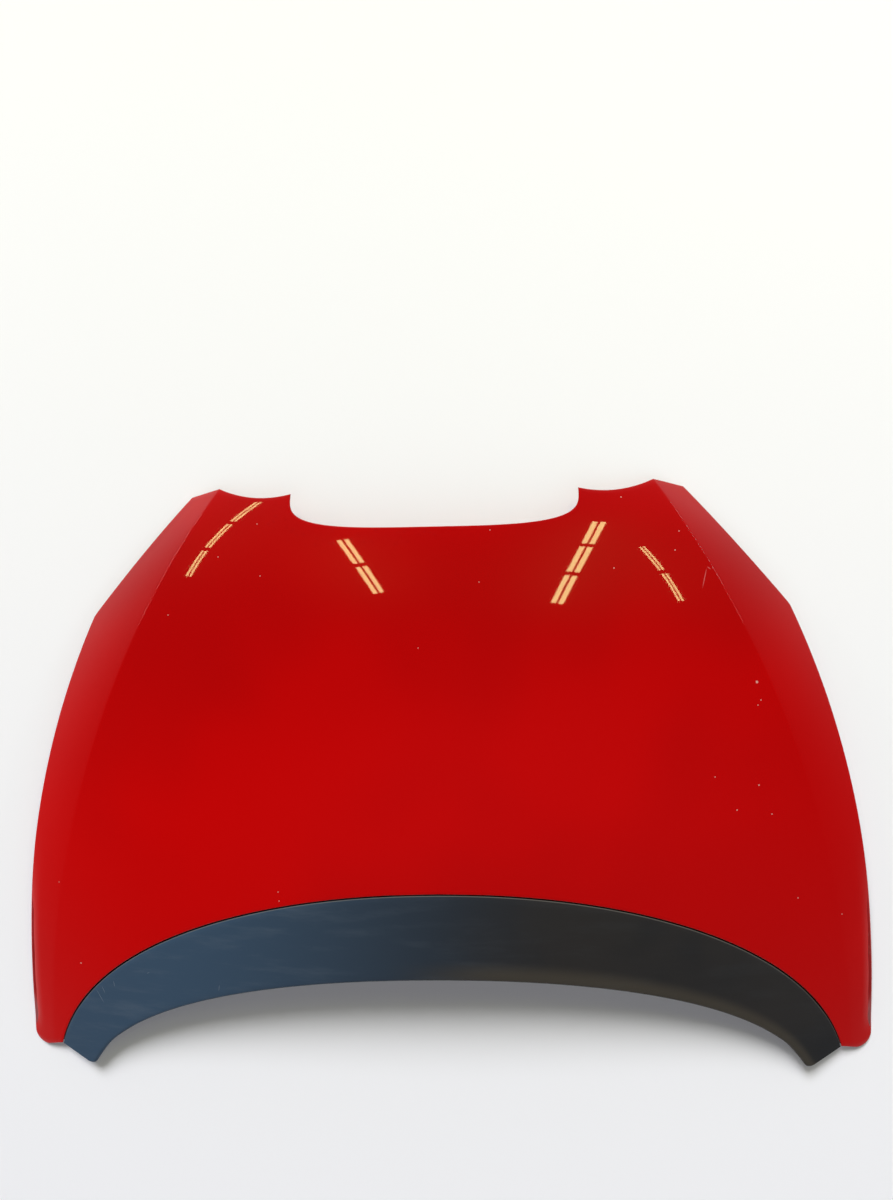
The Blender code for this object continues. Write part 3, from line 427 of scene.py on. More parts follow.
class Term:
    def __init__(self, tree, socket):
        self.tree = tree
        self.socket = socket

    def maths(self, operation, *others, clamped=False):
        settings = {"operation": operation, "use_clamp": clamped}
        return add_node(self.tree, "Math", settings=settings, feed=(self, *others))

    def __add__(self, other):
        return self.maths("ADD", other)

    def __sub__(self, other):
        return self.maths("SUBTRACT", other)

    def __mul__(self, other):
        return self.maths("MULTIPLY", other)

    def __rsub__(self, other):
        return (self * -1.0) + other

    __radd__ = __add__
    __rmul__ = __mul__

    def clamp(self):
        return self.maths("ADD", 0.0, clamped=True)


class Look:
    """A material, its shader, and the few patterns that the finishes are made of."""

    def __init__(self, name):
        self.material = bpy.data.materials.new(name)
        self.material.use_nodes = True
        self.tree = self.material.node_tree
        self.shader = self.tree.nodes["Principled BSDF"]
        self.place = self.node("TexCoord", out="Object")

    def node(self, kind, out=0, settings=(), feed=(), **named):
        return add_node(self.tree, kind, out, settings, feed, **named)

    def noise(self, scale, detail=2.0, rough=0.5, place=None):
        return self.node("TexNoise", Vector=place or self.place, Scale=scale,
                         Detail=detail, Roughness=rough)

    def ramp(self, value, low, high, to_low=0.0, to_high=1.0):
        return self.node("MapRange", settings={"interpolation_type": "SMOOTHSTEP"}, Value=value,
                         From_Min=low, From_Max=high, To_Min=to_low, To_Max=to_high)

    def fade(self, value, low, high):
        """Full below low and nothing above high."""
        return self.ramp(value, low, high, 1.0, 0.0)

    def mix(self, factor, first, second):
        """A colour mix. Its factor and its two colours are sockets 0, 6 and 7."""
        return self.node("Mix", 2, {"data_type": "RGBA"}, {0: factor, 6: first, 7: second})

    def bump(self, height, distance, strength):
        return self.node("Bump", Height=height, Distance=distance, Strength=strength)

    def mark(self, centre, angle, length, width):
        """Distance in plan from the middle of a small mark, 1 at its edge."""
        turned = self.node("Mapping", settings={"vector_type": "TEXTURE"}, Vector=self.place,
                           Location=(*centre, 0.0), Rotation=(0.0, 0.0, math.radians(angle)),
                           Scale=(length, width, 1.0))
        flat = self.node("VectorMath", settings={"operation": "MULTIPLY"},
                         feed=(turned, (1.0, 1.0, 0.0)))
        return self.node("VectorMath", "Value", {"operation": "LENGTH"}, (flat,))

    def nearest(self, marks):
        """Distance to the nearest of several marks."""
        least, *others = [self.mark(*mark) for mark in marks]
        for away in others:
            least = least.maths("MINIMUM", away)
        return least

    def set(self, **named):
        for key, value in named.items():
            link(self.tree, self.shader.inputs[key.replace("_", " ")], value)
        return self.material


# %% [markdown]
# The finish is red paint under clear coat. The red is darkened a little towards the nose, a
# painted shade that evens out the extra light the nose sun throws on the slope there, and a cloudy
# tone drifts over it at random. The coat has faint orange peel and hardly any dust, and the stones
# of the road have left chips and one hooked scuff. Chips are too shallow to model: each is a spot
# with a ragged edge, where the coat is gone and a paler ground shows. They are placed one by one,
# where the real ones are.

# %% Paint
CHIPS = (
    ((0.5192, 0.1608), 0.0024), ((0.5251, 0.1317), 0.0012), ((0.5198, 0.1239), 0.0011),
    ((0.5193, -0.0051), 0.0014), ((0.4823, -0.0438), 0.0013), ((0.5408, -0.0534), 0.0012),
    ((0.4465, 0.0112), 0.0011), ((-0.6205, -0.3107), 0.0015), ((-0.6531, -0.1692), 0.0010),
    ((0.6635, -0.2292), 0.0011), ((0.5858, -0.1955), 0.0011), ((-0.2599, -0.1662), 0.0010),
    ((-0.2588, -0.1812), 0.0010), ((0.4041, 0.4080), 0.0011), ((0.3948, 0.3765), 0.0013),
    ((0.2928, 0.3488), 0.0012), ((0.3125, 0.4672), 0.0012), ((-0.2956, 0.4345), 0.0010),
    ((-0.3593, 0.3801), 0.0010), ((-0.2848, 0.3469), 0.0010), ((-0.4422, 0.2852), 0.0010),
    ((0.0939, 0.4148), 0.0009), ((0.0747, 0.3302), 0.0009), ((-0.0241, 0.2269), 0.0009),
)
SCUFFS = (((0.4405, 0.3302), 74, 0.0183), ((0.4490, 0.3463), -36, 0.0038))
SCUFF_W = 0.0010
PAINT_RED = (0.53, 0.0005, 0.0006)
# The second red is partly painted shade: the nose end is darkened towards it, and the cloudy tone
# drifts to it at random.
PAINT_SHADE_AND_CLOUD = (0.325, 0.0005, 0.0008)
PAINT_DUST = (0.42, 0.20, 0.18)
CHIP_PALE = (0.62, 0.36, 0.30)
SCUFF_PINK = (0.60, 0.16, 0.15)
# Painted shade: over this span the red is darkened towards the nose.
PAINTED_SHADE_Y = (-0.10, 0.45)         # over which the red deepens
PAINTED_SHADE_SHARE = 0.7               # the rest of the drift is cloudy
CLOUD_SCALE = 2.2
CLOUD_BAND = (0.35, 0.65)        # a band is the part of a noise that is spread over 0 to 1
GRAIN_SCALE = 900.0
DUST_SCALE = 520.0
DUST_BAND = (0.70, 0.80)
DUST_SHARE = 0.05
RAGGED_SCALE = 1400.0
CHIP_RAGGED = 0.9
CHIP_EDGE = (0.75, 1.0)
CHIP_SHARE = 0.75
CHIP_PIT = 2.0
SCUFF_RAGGED = 1.2
SCUFF_EDGE = (0.5, 1.0)
SCUFF_SHARE = 0.5
PEEL_SCALE = 210.0
PEEL_DEPTH = 0.00006
PEEL_STRENGTH = 0.35
PAINT_ROUGH = 0.30
PAINT_GLOSS = 0.05
COAT_ROUGH = 0.025
COAT_IOR = 1.36

paint = Look("paint_red")
forward = paint.node("SeparateXYZ", out=1, Vector=paint.place)
cloud = paint.ramp(paint.noise(CLOUD_SCALE), *CLOUD_BAND)
# Painted shade towards the nose, mixed with a cloudy tone at random.
shade_and_cloud = (paint.ramp(forward, *PAINTED_SHADE_Y) * PAINTED_SHADE_SHARE + cloud * (1 - PAINTED_SHADE_SHARE)).clamp()
grain = paint.noise(GRAIN_SCALE, 1.0)
peel = paint.noise(PEEL_SCALE, 1.5)
dust = paint.ramp(paint.noise(DUST_SCALE, 3.0, 0.7), *DUST_BAND) * DUST_SHARE
ragged = paint.noise(RAGGED_SCALE) - 0.5
chip_away = paint.nearest([(centre, 0, radius, radius) for centre, radius in CHIPS])
chip = paint.fade(chip_away + ragged * CHIP_RAGGED, *CHIP_EDGE)
scuff_away = paint.nearest([(*scuff, SCUFF_W) for scuff in SCUFFS])
scuff = paint.fade(scuff_away + ragged * SCUFF_RAGGED, *SCUFF_EDGE)
# The red darkened by painted shade towards the nose and by the cloudy tone.
colour = paint.mix(shade_and_cloud, PAINT_RED, PAINT_SHADE_AND_CLOUD)
colour = paint.mix(dust.clamp(), colour, PAINT_DUST)
colour = paint.mix(chip * CHIP_SHARE, colour, CHIP_PALE)
colour = paint.mix(scuff * SCUFF_SHARE, colour, SCUFF_PINK)
relief = paint.bump(peel - chip * CHIP_PIT, PEEL_DEPTH, PEEL_STRENGTH)
paint_look = paint.set(Base_Color=colour, Roughness=PAINT_ROUGH + grain * 0.05 + chip * 0.3,
                       Specular_IOR_Level=PAINT_GLOSS, Coat_Weight=1.0 - chip,
                       Coat_Roughness=COAT_ROUGH, Coat_IOR=COAT_IOR, Normal=relief)
print("paint:", len(CHIPS), "chips,", len(SCUFFS), "scuffs")

# %% [markdown]
# The trim is matt black plastic with a fine grain. Its left end is painted a pale blue grey, a
# painted reflection of sky, and there dust haze is heavier and a few short scratches show. Its
# right end has warm patches at random, and along its rear edge, where it rolls under, a brownish
# painted reflection of the floor. A painted highlight runs along the rounded lip beside the gap.
# The bands along the strip read the piece's own UV map, so that they follow its bend, and the rest
# reads plain Object coordinates.

# %% Trim plastic
SCRATCHES = (((-0.5887, -0.3678), 118, 0.016), ((-0.5810, -0.3560), 112, 0.008),
             ((-0.4947, -0.3177), 20, 0.003), ((-0.3689, -0.3353), 78, 0.006),
             ((-0.5600, -0.3430), 100, 0.006))
SCRATCH_W = 0.0005
PLASTIC_DARK = (0.0165, 0.0168, 0.0182)
# Painted reflection of sky: the pale blue grey of the left end.
PLASTIC_SKY_SHEEN = (0.036, 0.069, 0.114)
PLASTIC_WARM = (0.036, 0.030, 0.025)
# Painted reflection of the floor: the brownish colour along the rear edge where it rolls under.
PLASTIC_FLOOR_SHEEN = (0.058, 0.049, 0.036)
# Painted highlight: the pale grey of the rounded lip beside the gap.
LIP_HIGHLIGHT = (0.15, 0.14, 0.12)
DUST_GREY = (0.17, 0.20, 0.23)
SCRATCH_GREY = (0.22, 0.26, 0.30)
# The painted sky reflection fades out over this span from the left end.
SHEEN_END_X = (-0.50, 0.24)          # over which the paled end turns dark
WARM_X = (-0.05, 0.20)
EDGE_X = (-0.10, 0.12)
EDGE_V = (0.64, 0.74)            # V places are shares of the way round the strip's section
LIP_IN_V = (0.15, 0.20)
LIP_OUT_V = (0.22, 0.27)
SMEAR_SCALE = 7.0
SMEAR_STRETCH = (1.0, 6.0, 1.0)
SMEAR_BAND = (0.45, 0.72)
HAZE_DARK = 0.10                 # how much haze the dark end has
HAZE_SHEEN_END = 0.6                 # added at the paled end
HAZE_SHARE = 0.20
WARM_SCALE = 5.0
WARM_BAND = (0.40, 0.65)
WARM_SHARE = 0.35
FLOOR_SHEEN_SHARE = 0.75
LIP_HIGHLIGHT_SHARE = 0.6
SCRATCH_RAGGED = 0.5
SCRATCH_EDGE = (0.6, 1.0)
SCRATCH_SHARE = 0.55
LEATHER_SCALE = 780.0
LEATHER_DEPTH = 0.00012
LEATHER_STRENGTH = 0.6
PLASTIC_ROUGH = 0.58
PLASTIC_GLOSS = 0.25

plastic = Look("plastic_grained")
along = plastic.node("SeparateXYZ", out=0, Vector=plastic.place)
down = plastic.node("SeparateXYZ", out=1, Vector=plastic.node("TexCoord", out="UV"))
stretch = plastic.node("Mapping", Vector=plastic.place, Scale=SMEAR_STRETCH)
smear = plastic.noise(SMEAR_SCALE, 5.0, 0.65, stretch)
leather = plastic.noise(LEATHER_SCALE, 3.0, 0.6)
# Painted reflection of sky, strongest at the left end, where the dust haze is heavier too.
sheen_end = plastic.fade(along, *SHEEN_END_X)
haze = (plastic.ramp(smear, *SMEAR_BAND) * (HAZE_DARK + sheen_end * HAZE_SHEEN_END)).clamp()
warm = plastic.ramp(plastic.noise(WARM_SCALE), *WARM_BAND) * plastic.ramp(along, *WARM_X)
# Painted reflection of the floor along the rear edge, towards the right end.
floor_sheen_band = plastic.ramp(down, *EDGE_V) * plastic.ramp(along, *EDGE_X)
# Painted highlight along the rounded lip beside the gap.
lip_highlight_band = plastic.ramp(down, *LIP_IN_V) * plastic.fade(down, *LIP_OUT_V)
scratch_away = plastic.nearest([(*scratch, SCRATCH_W) for scratch in SCRATCHES])
uneven = plastic.noise(GRAIN_SCALE) - 0.5
scratch = plastic.fade(scratch_away + uneven * SCRATCH_RAGGED, *SCRATCH_EDGE)
# The dark plastic under a painted sky reflection, a painted floor reflection and a painted
# highlight, then dust haze and scratches.
colour = plastic.mix(sheen_end, PLASTIC_DARK, PLASTIC_SKY_SHEEN)
colour = plastic.mix(warm * WARM_SHARE, colour, PLASTIC_WARM)
colour = plastic.mix(floor_sheen_band * FLOOR_SHEEN_SHARE, colour, PLASTIC_FLOOR_SHEEN)
colour = plastic.mix(lip_highlight_band * LIP_HIGHLIGHT_SHARE, colour, LIP_HIGHLIGHT)
colour = plastic.mix(haze * HAZE_SHARE, colour, DUST_GREY)
colour = plastic.mix(scratch * SCRATCH_SHARE, colour, SCRATCH_GREY)
relief = plastic.bump(leather, LEATHER_DEPTH, LEATHER_STRENGTH)
plastic_look = plastic.set(Base_Color=colour, Roughness=PLASTIC_ROUGH + smear * 0.12,
                           Specular_IOR_Level=PLASTIC_GLOSS, Normal=relief)
print("plastic:", len(SCRATCHES), "scratches")

# %% [markdown]
# The hidden sides have a thin satin coat, and the small parts are zinc, steel, nylon, rubber and
# mastic. One function makes them all: two tones mixed by a soft noise, a fine bump, and here and
# there a fleck of dust or old plating, so that no side is a flat colour.

# %% Other materials
SATIN_RED = (0.27, 0.003, 0.003)
SATIN_FLECK = (0.30, 0.05, 0.04)
SEALER_RED = (0.26, 0.02, 0.018)
NYLON_BLACK = (0.018, 0.018, 0.020)
STEEL_GREY = (0.38, 0.38, 0.39)
STEEL_FLECK = (0.30, 0.26, 0.22)
ZINC_PALE = (0.58, 0.56, 0.50)
ZINC_FLECK = (0.62, 0.55, 0.36)
RUBBER_BLACK = (0.016, 0.016, 0.016)
MASTIC_GREY = (0.07, 0.07, 0.075)
TONE_BAND = (0.35, 0.65)
FINE_SCALE = 14.0        # times the scale of the two tones
FINE_STRENGTH = 0.5
FLECK_SCALE = 5.0        # times that scale as well
FLECK_BAND = (0.62, 0.72)
FLECK_SHARE = 0.5


def plain_look(name, colour, spread, rough, metal=0.0, scale=60.0, bump=0.00005, fleck=None):
    look = Look(name)
    patch = look.noise(scale, 4.0, 0.6)
    fine = look.noise(scale * FINE_SCALE)
    pale = tuple(min(1.0, c * spread) for c in colour)
    shade = look.mix(look.ramp(patch, *TONE_BAND), colour, pale)
    if fleck:
        flecks = look.ramp(look.noise(scale * FLECK_SCALE, 3.0), *FLECK_BAND)
        shade = look.mix(flecks * FLECK_SHARE, shade, fleck)
    return look.set(Base_Color=shade, Roughness=rough + patch * 0.12, Metallic=metal,
                    Normal=look.bump(fine, bump, FINE_STRENGTH))


inner_look = plain_look("coat_inner", SATIN_RED, 1.25, 0.30, scale=18.0, bump=0.00008,
                        fleck=SATIN_FLECK)
sealer_look = plain_look("sealer_bead", SEALER_RED, 1.2, 0.45, scale=120.0, bump=0.0003)
nylon_look = plain_look("nylon_black", NYLON_BLACK, 1.5, 0.45, scale=150.0)
steel_look = plain_look("steel_plate", STEEL_GREY, 1.25, 0.38, 1.0, scale=80.0,
                        fleck=STEEL_FLECK)
zinc_look = plain_look("zinc_plated", ZINC_PALE, 1.2, 0.28, 1.0, scale=140.0, fleck=ZINC_FLECK)
rubber_look = plain_look("rubber_black", RUBBER_BLACK, 1.6, 0.75, scale=200.0, bump=0.0002)
mastic_look = plain_look("mastic_grey", MASTIC_GREY, 1.4, 0.80, scale=220.0, bump=0.0004)
print("materials:", len(bpy.data.materials))

# %% [markdown]
# The outer skin is one pressed sheet whose edge is folded back on itself all round, the hem. A
# modelled fold is better than a bevel here, because the gloss has to run round it and the flange
# has to be there underneath. So half of the sheet is a grid laid on the face, its rim is extruded
# step by step round the bend and in along the flange, and then it is mirrored and given its
# thickness. Extruding renumbers points, so each new one is found by the place it was made at.

# %% Outer skin
SKIN_T = 0.0008
HEM_R = 0.0016
HEM_OUT = 0.0013         # how far the hem's bend stands out
HEM_D = 0.0029           # depth of the flange under it
HEM_FLANGE = 0.009
HEM_STEPS = 6
MERGE = 0.0001           # points of the two halves this close become one


def extrude_rim(piece, ring):
    """Extrudes a line of vertices and gives the new ones, in the same order."""
    edit(piece, ring)
    bpy.ops.mesh.extrude_edges_move()
    leave()
    spots = {tuple(vertex.co): vertex.index for vertex in piece.data.vertices if vertex.select}
    return [spots[tuple(piece.data.vertices[index].co)] for index in ring]


skin = grid("skin_painted", len(columns), ROW_COUNT)
flat = [column_point(column, share) for share in rows for column in columns]
place_points(skin, [below(point.x, point.y, 0.0) for point in flat])
count = len(columns)
ring = list(range(count))
ring += [j * count + count - 1 for j in range(1, ROW_COUNT - 1)]
ring += [(ROW_COUNT - 1) * count + k for k in range(count - 1, -1, -1)]
hem = []
for k in range(1, HEM_STEPS + 1):
    turn = math.pi * k / HEM_STEPS
    hem.append((HEM_OUT * math.sin(turn), HEM_D / 2 * (1 - math.cos(turn))))
hem.append((-HEM_FLANGE, HEM_D))
for out, depth in hem:
    ring = extrude_rim(skin, ring)
    places = moved_rim(rim, out) if out < 0 else [point + way * out for point, way in rim]
    for index, place in zip(ring, places):
        skin.data.vertices[index].co = below(max(place.x, 0.0), place.y, depth)
apply_modifier(skin, "MIRROR", merge_threshold=MERGE)
face_up(skin)
apply_modifier(skin, "SOLIDIFY", thickness=SKIN_T, offset=-1.0, use_even_offset=False)
finish_piece(skin, "outer_skin", paint_look, angle=40)

# %% [markdown]
# A sealer bead keeps water out of the hem, along the inner edge of the flange underneath. It
# could be a swept section, but a curve with a round bevel is simpler: a ring of points is laid on
# that line, turned into a curve, and turned back into a mesh. The radius swells a little from
# point to point, as in a bead laid by hand.

# %% Sealer bead
BEAD_R = 0.0012
BEAD_OFF = 0.0006        # beyond the flange's edge
BEAD_D = 0.0024
BEAD_SWELL = 0.12
BEAD_WAVES = (0.9, 0.37)         # turned per point, in radians

half = []
for place in moved_rim(rim, -(HEM_FLANGE + BEAD_OFF)):
    if not half or (place - half[-1]).length > BEAD_R:
        half.append(place)
half[-1].x = 0.0
line = half + [Vector((-place.x, place.y)) for place in reversed(half[1:-1])]
bpy.ops.object.select_all(action="DESELECT")
bpy.ops.mesh.primitive_circle_add(vertices=len(line), radius=1.0)
bead = name_it("sealer_bead")
place_points(bead, [below(place.x, place.y, BEAD_D) for place in line])
pick(bead)
bpy.ops.object.convert(target="CURVE")
bead.data.bevel_depth = BEAD_R
bead.data.bevel_resolution = 2
for index, point in enumerate(bead.data.splines[0].points):
    fast, slow = (math.sin(index * wave) for wave in BEAD_WAVES)
    point.radius = 1.0 + BEAD_SWELL * fast * slow
bpy.ops.object.convert(target="MESH")
bead = name_it("sealer_bead")
finish_piece(bead, None, sealer_look, angle=60)

# %% [markdown]
# The windscreen trim is a moulded strip in the arch. Its section starts at a hidden shelf for the
# clips, turns up into a lip beside the gap, runs back as a nearly flat face and rolls under at
# the rear. The strip narrows towards its ends, where it is cut off at a slant with a rounded
# corner. One grid does it all: its columns are stations along the arch, its rows are the points
# of the section, and then it is mirrored and given its wall.

# %% Section of the trim
TRIM_T = 0.0025
TRIM_GAP = 0.0024
TRIM_GAP_END = 0.0010
TRIM_SINK = 0.0006       # below the painted face
TRIM_W_MID = 0.1468
TRIM_W_END = 0.0685
TRIM_POWER = 0.631
TRIM_EDGE_R = 0.005
TRIM_NOSE_R = 0.0015
TRIM_CHAMFER = 0.0005
TRIM_LIP = 0.010
TRIM_LIP_END = 0.003
TRIM_FLANGE = 0.046
TRIM_FLANGE_END = 0.009
SHELF_DROP = 0.014
SHELF_CLEAR = 0.0003
TRIM_SHELF_D = SHELF_DROP + SKIN_T + SHELF_CLEAR
TRIM_SHELF_END_D = 0.008
END_CORNER_R = 0.007
TRIM_GAP_FADE = (0.93, 1.0)      # shares of the arch's half width, as the next two are
TRIM_LIP_FADE = (0.75, 1.0)
TRIM_FLANGE_FADE = (0.83, 0.91)
NOSE_STEPS = 3
FACE_STEPS = 14
TURN_STEPS = 6


def faded(value, end_value, share, fade):
    return value - (value - end_value) * smooth_step(share, *fade)


def trim_section(share, to_end):
    """The (out, depth) points of a section, by its share of the arch and its way to the end."""
    near = HEM_R + faded(TRIM_GAP, TRIM_GAP_END, share, TRIM_GAP_FADE)
    width = TRIM_W_END + (TRIM_W_MID - TRIM_W_END) * max(1 - share ** 2, 0.0) ** TRIM_POWER
    short = max(END_CORNER_R - to_end, 0.0)
    width -= END_CORNER_R - math.sqrt(max(END_CORNER_R ** 2 - short ** 2, 0.0))
    lip = faded(TRIM_LIP, TRIM_LIP_END, share, TRIM_LIP_FADE)
    shelf_d = faded(TRIM_SHELF_D, TRIM_SHELF_END_D, share, (TRIM_FLANGE_FADE[1], 1.0))
    flange = faded(TRIM_FLANGE, TRIM_FLANGE_END, share, TRIM_FLANGE_FADE)
    section = [(-flange, shelf_d), (-flange * 0.5, shelf_d), (near - TRIM_CHAMFER, shelf_d),
               (near, shelf_d - TRIM_CHAMFER), (near, (shelf_d + TRIM_SINK) / 2)]
    for k in range(NOSE_STEPS + 1):
        turn = math.pi / 2 * k / NOSE_STEPS
        section.append((near + TRIM_NOSE_R * (1 - math.cos(turn)),
                        TRIM_SINK + TRIM_NOSE_R * (1 - math.sin(turn))))
    start, end = near + TRIM_NOSE_R, width - TRIM_EDGE_R
    section += [(start + (end - start) * k / FACE_STEPS, TRIM_SINK) for k in range(1, FACE_STEPS)]
    for k in range(TURN_STEPS + 1):
        turn = math.pi / 2 * k / TURN_STEPS
        section.append((end + TRIM_EDGE_R * math.sin(turn),
                        TRIM_SINK + TRIM_EDGE_R * (1 - math.cos(turn))))
    section.append((width, TRIM_SINK + TRIM_EDGE_R + lip))
    return section


print("trim section:", len(trim_section(0.0, 1.0)), "points")

# %% [markdown]
# The stations are even along the arch, so the arch is first stepped through finely and its length
# added up. They stand closer in the rounded end corner. Each points square away from the arch,
# and towards the end they turn to the slant of the cut.

# %% Windscreen trim
TRACE_STEPS = 400
TINY = 1e-9
TRIM_STATIONS = 72
END_STEPS = 6
TRIM_END_ANGLE = math.radians(31)
TRIM_END_BLEND = (0.86, 1.0)     # shares of the arch's length over which the stations turn


def arch_trace():
    """Points along the arch from the middle to its end, and the length up to each."""
    last = math.asin(min((ARCH_END_X / ARCH_HALF_SPAN) ** (ARCH_POWER / 2), 1.0))
    trace = []
    for k in range(TRACE_STEPS + 1):
        x = ARCH_HALF_SPAN * math.sin(last * k / TRACE_STEPS) ** (2 / ARCH_POWER)
        trace.append(Vector((x, arch_y(x))))
    travelled = [0.0]
    for before, after in zip(trace, trace[1:]):
        travelled.append(travelled[-1] + (after - before).length)
    return trace, travelled


trace, travelled = arch_trace()
arch_length = travelled[-1]
end_way = Vector((-math.cos(TRIM_END_ANGLE), -math.sin(TRIM_END_ANGLE)))
lengths = [arch_length * k / TRIM_STATIONS for k in range(TRIM_STATIONS)]
lengths += [arch_length - END_CORNER_R * (1 - math.sin(math.pi / 2 * k / END_STEPS))
            for k in range(END_STEPS + 1)]
stations = []
for wanted in lengths:
    low = max(i for i in range(TRACE_STEPS) if travelled[i] <= wanted + TINY)
    step = trace[low + 1] - trace[low]
    point = trace[low] + step * ((wanted - travelled[low]) / step.length)
    way = Vector((step.y, -step.x)).normalized() if wanted else Vector((0.0, -1.0))
    way = way.lerp(end_way, smooth_step(wanted / arch_length, *TRIM_END_BLEND)).normalized()
    section = trim_section(min(point.x / ARCH_END_X, 1.0), arch_length - wanted)
    stations.append((point, way, section))
section_size = len(stations[0][2])
trim = grid("trim_grained", len(stations), section_size)
places = []
for j in range(section_size):
    for point, way, section in stations:
        out, depth = section[j]
        place = point + way * out
        places.append(below(place.x, place.y, depth))
place_points(trim, places)
apply_modifier(trim, "MIRROR", merge_threshold=MERGE)
face_up(trim)
apply_modifier(trim, "SOLIDIFY", thickness=TRIM_T, offset=-1.0, use_even_offset=True)
finish_piece(trim, "windscreen_trim", plastic_look, angle=40)

# %% [markdown]
# The inner panel is the pressed frame that stiffens the skin from below. The solid already has
# its ribs and openings, so modelling it again would gain little. A copy of it is taken instead,
# its loose triangles are merged, and its folds are shaded smooth.

# %% Inner panel
PANEL_MERGE = 0.00002    # corners of the loose triangles this close become one


def merged_copy(node, name):
    pick(nodes[node])
    bpy.ops.object.duplicate()
    piece = name_it(name)
    bpy.ops.object.parent_clear(type="CLEAR_KEEP_TRANSFORM")
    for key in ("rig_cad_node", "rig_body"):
        if key in piece:
            del piece[key]
    edit(piece)
    bpy.ops.mesh.remove_doubles(threshold=PANEL_MERGE)
    bpy.ops.mesh.normals_make_consistent(inside=False)
    leave()
    return piece


panel = merged_copy("inner_panel", "panel_pressed")
finish_piece(panel, "inner_panel", inner_look, angle=50)

# %% [markdown]
# The clips, plates, nuts, striker, stops and mastic are plain small shapes that the solids show
# well enough. They stay as they are, and only their slots get a material. The solid that lies
# hidden under the copied panel gets the panel's.

# %% Materials of the frame's nodes
LOOKS = {"trim_clip": nylon_look, "hinge_plate": steel_look, "hinge_nut": zinc_look,
         "striker_plate": steel_look, "striker_nut": zinc_look, "striker_base": zinc_look,
         "striker_loop": zinc_look, "striker_bolt": zinc_look, "nose_buffer": rubber_look,
         "mastic_dab": mastic_look, "inner_panel": inner_look}
dressed = 0
for name, node in nodes.items():
    for prefix, look in LOOKS.items():
        if name.startswith(prefix):
            for slot in node.material_slots:
                slot.material = look
                dressed += 1
print("slots of the frame filled:", dressed)

# %% [markdown]
# The floor is a plain pale plane, large enough to fill the view from above, and rough, so that
# it takes a soft shadow and mirrors nothing.

# %% Floor
FLOOR_SIZE = 14
FLOOR_PALE = (0.89, 0.89, 0.89)

bpy.ops.object.select_all(action="DESELECT")
bpy.ops.mesh.primitive_plane_add(size=FLOOR_SIZE, location=(0, 0, 0))
floor = name_it("floor_pale")
floor_look = Look("floor_white").set(Base_Color=FLOOR_PALE, Roughness=0.9, Specular_IOR_Level=0.0)
floor.data.materials.append(floor_look)
print("floor:", FLOOR_SIZE, "m square")

# %% [markdown]
# Two wide soft suns give the even light and the shadow. Gloss shows what stands round the
# object, so they are kept out of it. In their place, pairs of slim lamps beyond the nose draw
# streaks on the clear coat, and two more pairs bring out the ridges of the creases. The slim
# lamps are warm, and the suns are a little cool to even that out on the floor.

# %% Lamps
SUNS = (("sun_nose", (-50, -17, 0), 3.46, 24), ("sun_rear", (36, 10, 0), 0.57, 70))
SUN_COLOUR = (0.915, 0.92, 1.0)
# Each strip: its name, start and end, lamp width, distance of the pair, radiance, lamps in a row.
STRIPS = (("strip_left", (-1.80, 1.43, 1.85), (-1.25, 2.51, 1.13), 0.014, 0.026, 25.0, 3),
          ("strip_mid", (-0.77, 2.06, 1.85), (-0.52, 1.27, 2.38), 0.032, 0.050, 25.0, 2),
          ("strip_right", (0.71, 1.09, 2.42), (0.97, 2.23, 1.65), 0.036, 0.054, 25.0, 3),
          ("strip_far", (1.25, 1.85, 1.88), (1.55, 1.04, 2.18), 0.014, 0.026, 25.0, 2),
          ("ridge_left", (-2.52, 0.74, 1.48), (-1.89, 2.41, 0.49), 0.030, 0.050, 14.0, 1),
          ("ridge_right", (2.35, 0.79, 1.68), (1.68, 2.53, 0.62), 0.030, 0.050, 14.0, 1))
STRIP_BREAK = 0.12       # share of a lamp's length left dark between it and the next
STRIP_COLOUR = (0.90, 0.90, 0.38)
RIDGE_COLOUR = (1.0, 0.97, 0.93)

for name, turn, strength, spread in SUNS:
    bpy.ops.object.light_add(type="SUN", rotation=[math.radians(a) for a in turn])
    lamp = name_it(name)
    lamp.data.energy = strength
    lamp.data.angle = math.radians(spread)
    lamp.data.color = SUN_COLOUR
    lamp.visible_glossy = False
for name, start, end, width, pitch, radiance, count in STRIPS:
    start, end = Vector(start), Vector(end)
    long_way = (end - start).normalized()
    across = ((start + end) / 2).normalized().cross(long_way).normalized()
    turned = Matrix((long_way, across, long_way.cross(across))).transposed().to_4x4()
    places = [(f"{name}_{word}{k + 1}", start.lerp(end, (k + 0.5) / count) + across * pitch * side)
              for word, side in (("a", -0.5), ("b", 0.5)) for k in range(count)]
    for lamp_name, centre in places:
        bpy.ops.object.light_add(type="AREA")
        lamp = name_it(lamp_name)
        lamp.matrix_world = Matrix.Translation(centre) @ turned
        lamp.data.shape = "RECTANGLE"
        lamp.data.size = (end - start).length / count * (1 - STRIP_BREAK)
        lamp.data.size_y = width
        lamp.data.energy = radiance * math.pi * lamp.data.size * width
        lamp.data.color = RIDGE_COLOUR if name.startswith("ridge") else STRIP_COLOUR
        lamp.visible_camera = False

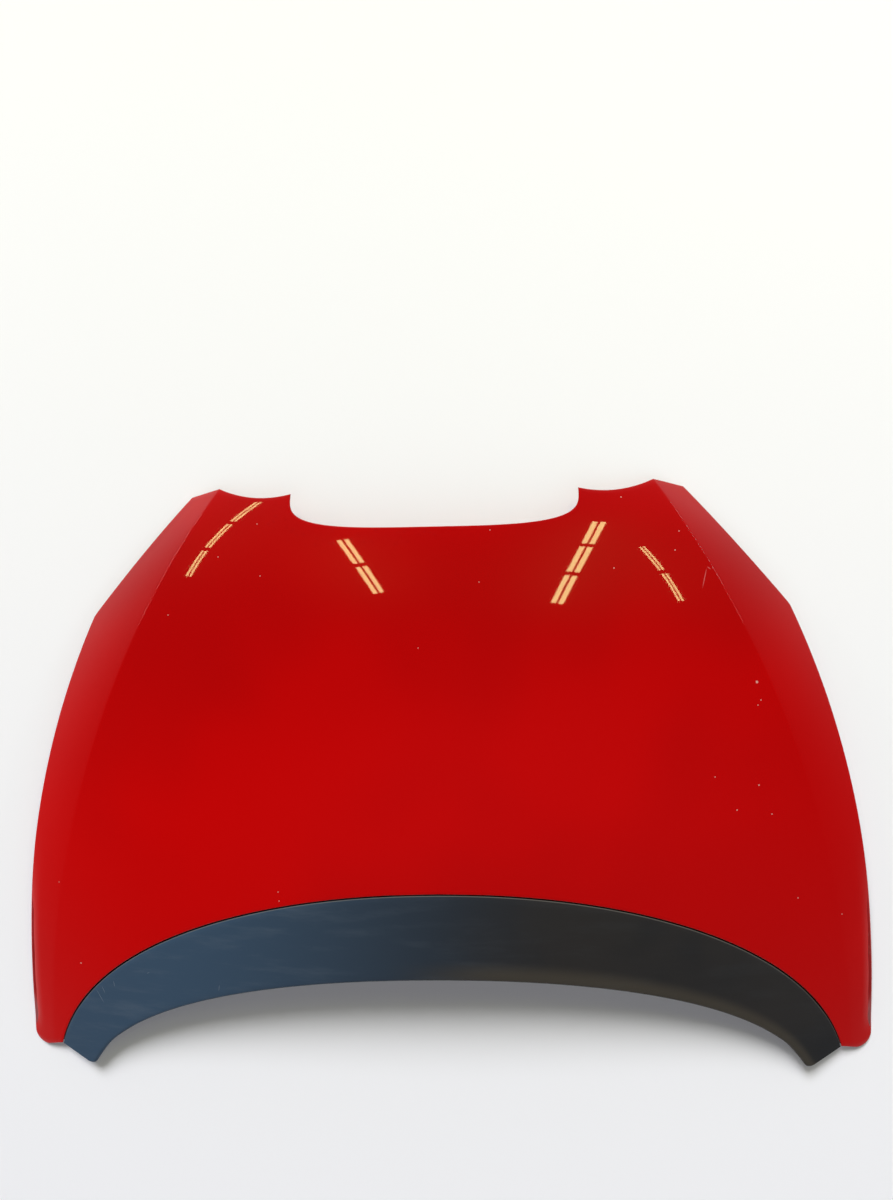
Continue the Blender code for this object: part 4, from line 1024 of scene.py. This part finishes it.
# %% [markdown]
# The world is dim overhead and pale at the horizon. The middle of the panel mirrors what is
# overhead, so its red stays deep, and the turned edges mirror the horizon and gleam.

# %% World
WORLD_TOP = 0.03         # what lies overhead
WORLD_RIM = 1.00         # added at the horizon
WORLD_FALL = 4.0         # how fast that fades upwards

world = bpy.context.scene.world or bpy.data.worlds.new("studio")
bpy.context.scene.world = world
world.use_nodes = True
tree = world.node_tree
tree.nodes.clear()
way = add_node(tree, "TexCoord", out="Generated")
height = add_node(tree, "SeparateXYZ", out="Z", Vector=way).clamp()
glow = (1.0 - height).maths("POWER", WORLD_FALL) * WORLD_RIM + WORLD_TOP
plain = add_node(tree, "Background", Color=(1.0, 1.0, 1.0), Strength=glow)
tree.links.new(plain.socket, tree.nodes.new("ShaderNodeOutputWorld").inputs["Surface"])
bpy.context.scene.view_settings.view_transform = "Standard"
print("world: from", WORLD_TOP, "overhead to", WORLD_TOP + WORLD_RIM, "at the horizon")

# %% [markdown]
# The camera looks down on the lying bonnet as the photo's did on its face, with the distance,
# tilt, yaw and roll that fit its outline best. The axes are built up one turn at a time, which
# reads more plainly than one set of Euler angles.

# %% Camera
CAMERA_AT = (0.0887, 0.3265, 1.5528)
TILT, YAW, ROLL = (math.radians(a) for a in (-0.960, -2.642, -1.026))
LENS = 27.0
SENSOR = 36.0

bpy.ops.object.camera_add(location=CAMERA_AT)
camera = name_it("photo_camera")
ahead = Vector((0.0, math.sin(TILT), -math.cos(TILT)))
above = Vector((0.0, math.cos(TILT), math.sin(TILT)))
right = Vector((1.0, 0.0, 0.0))
turned_ahead = ahead * math.cos(YAW) + right * math.sin(YAW)
turned_right = right * math.cos(YAW) - ahead * math.sin(YAW)
side_way = turned_right * math.cos(ROLL) + above * math.sin(ROLL)
up_way = above * math.cos(ROLL) - turned_right * math.sin(ROLL)
axes = Matrix((side_way, up_way, -turned_ahead)).transposed()
camera.matrix_world = Matrix.Translation(CAMERA_AT) @ axes.to_4x4()
camera.data.lens = LENS
camera.data.sensor_width = SENSOR
bpy.context.scene.camera = camera
print("camera:", LENS, "mm, at", CAMERA_AT)
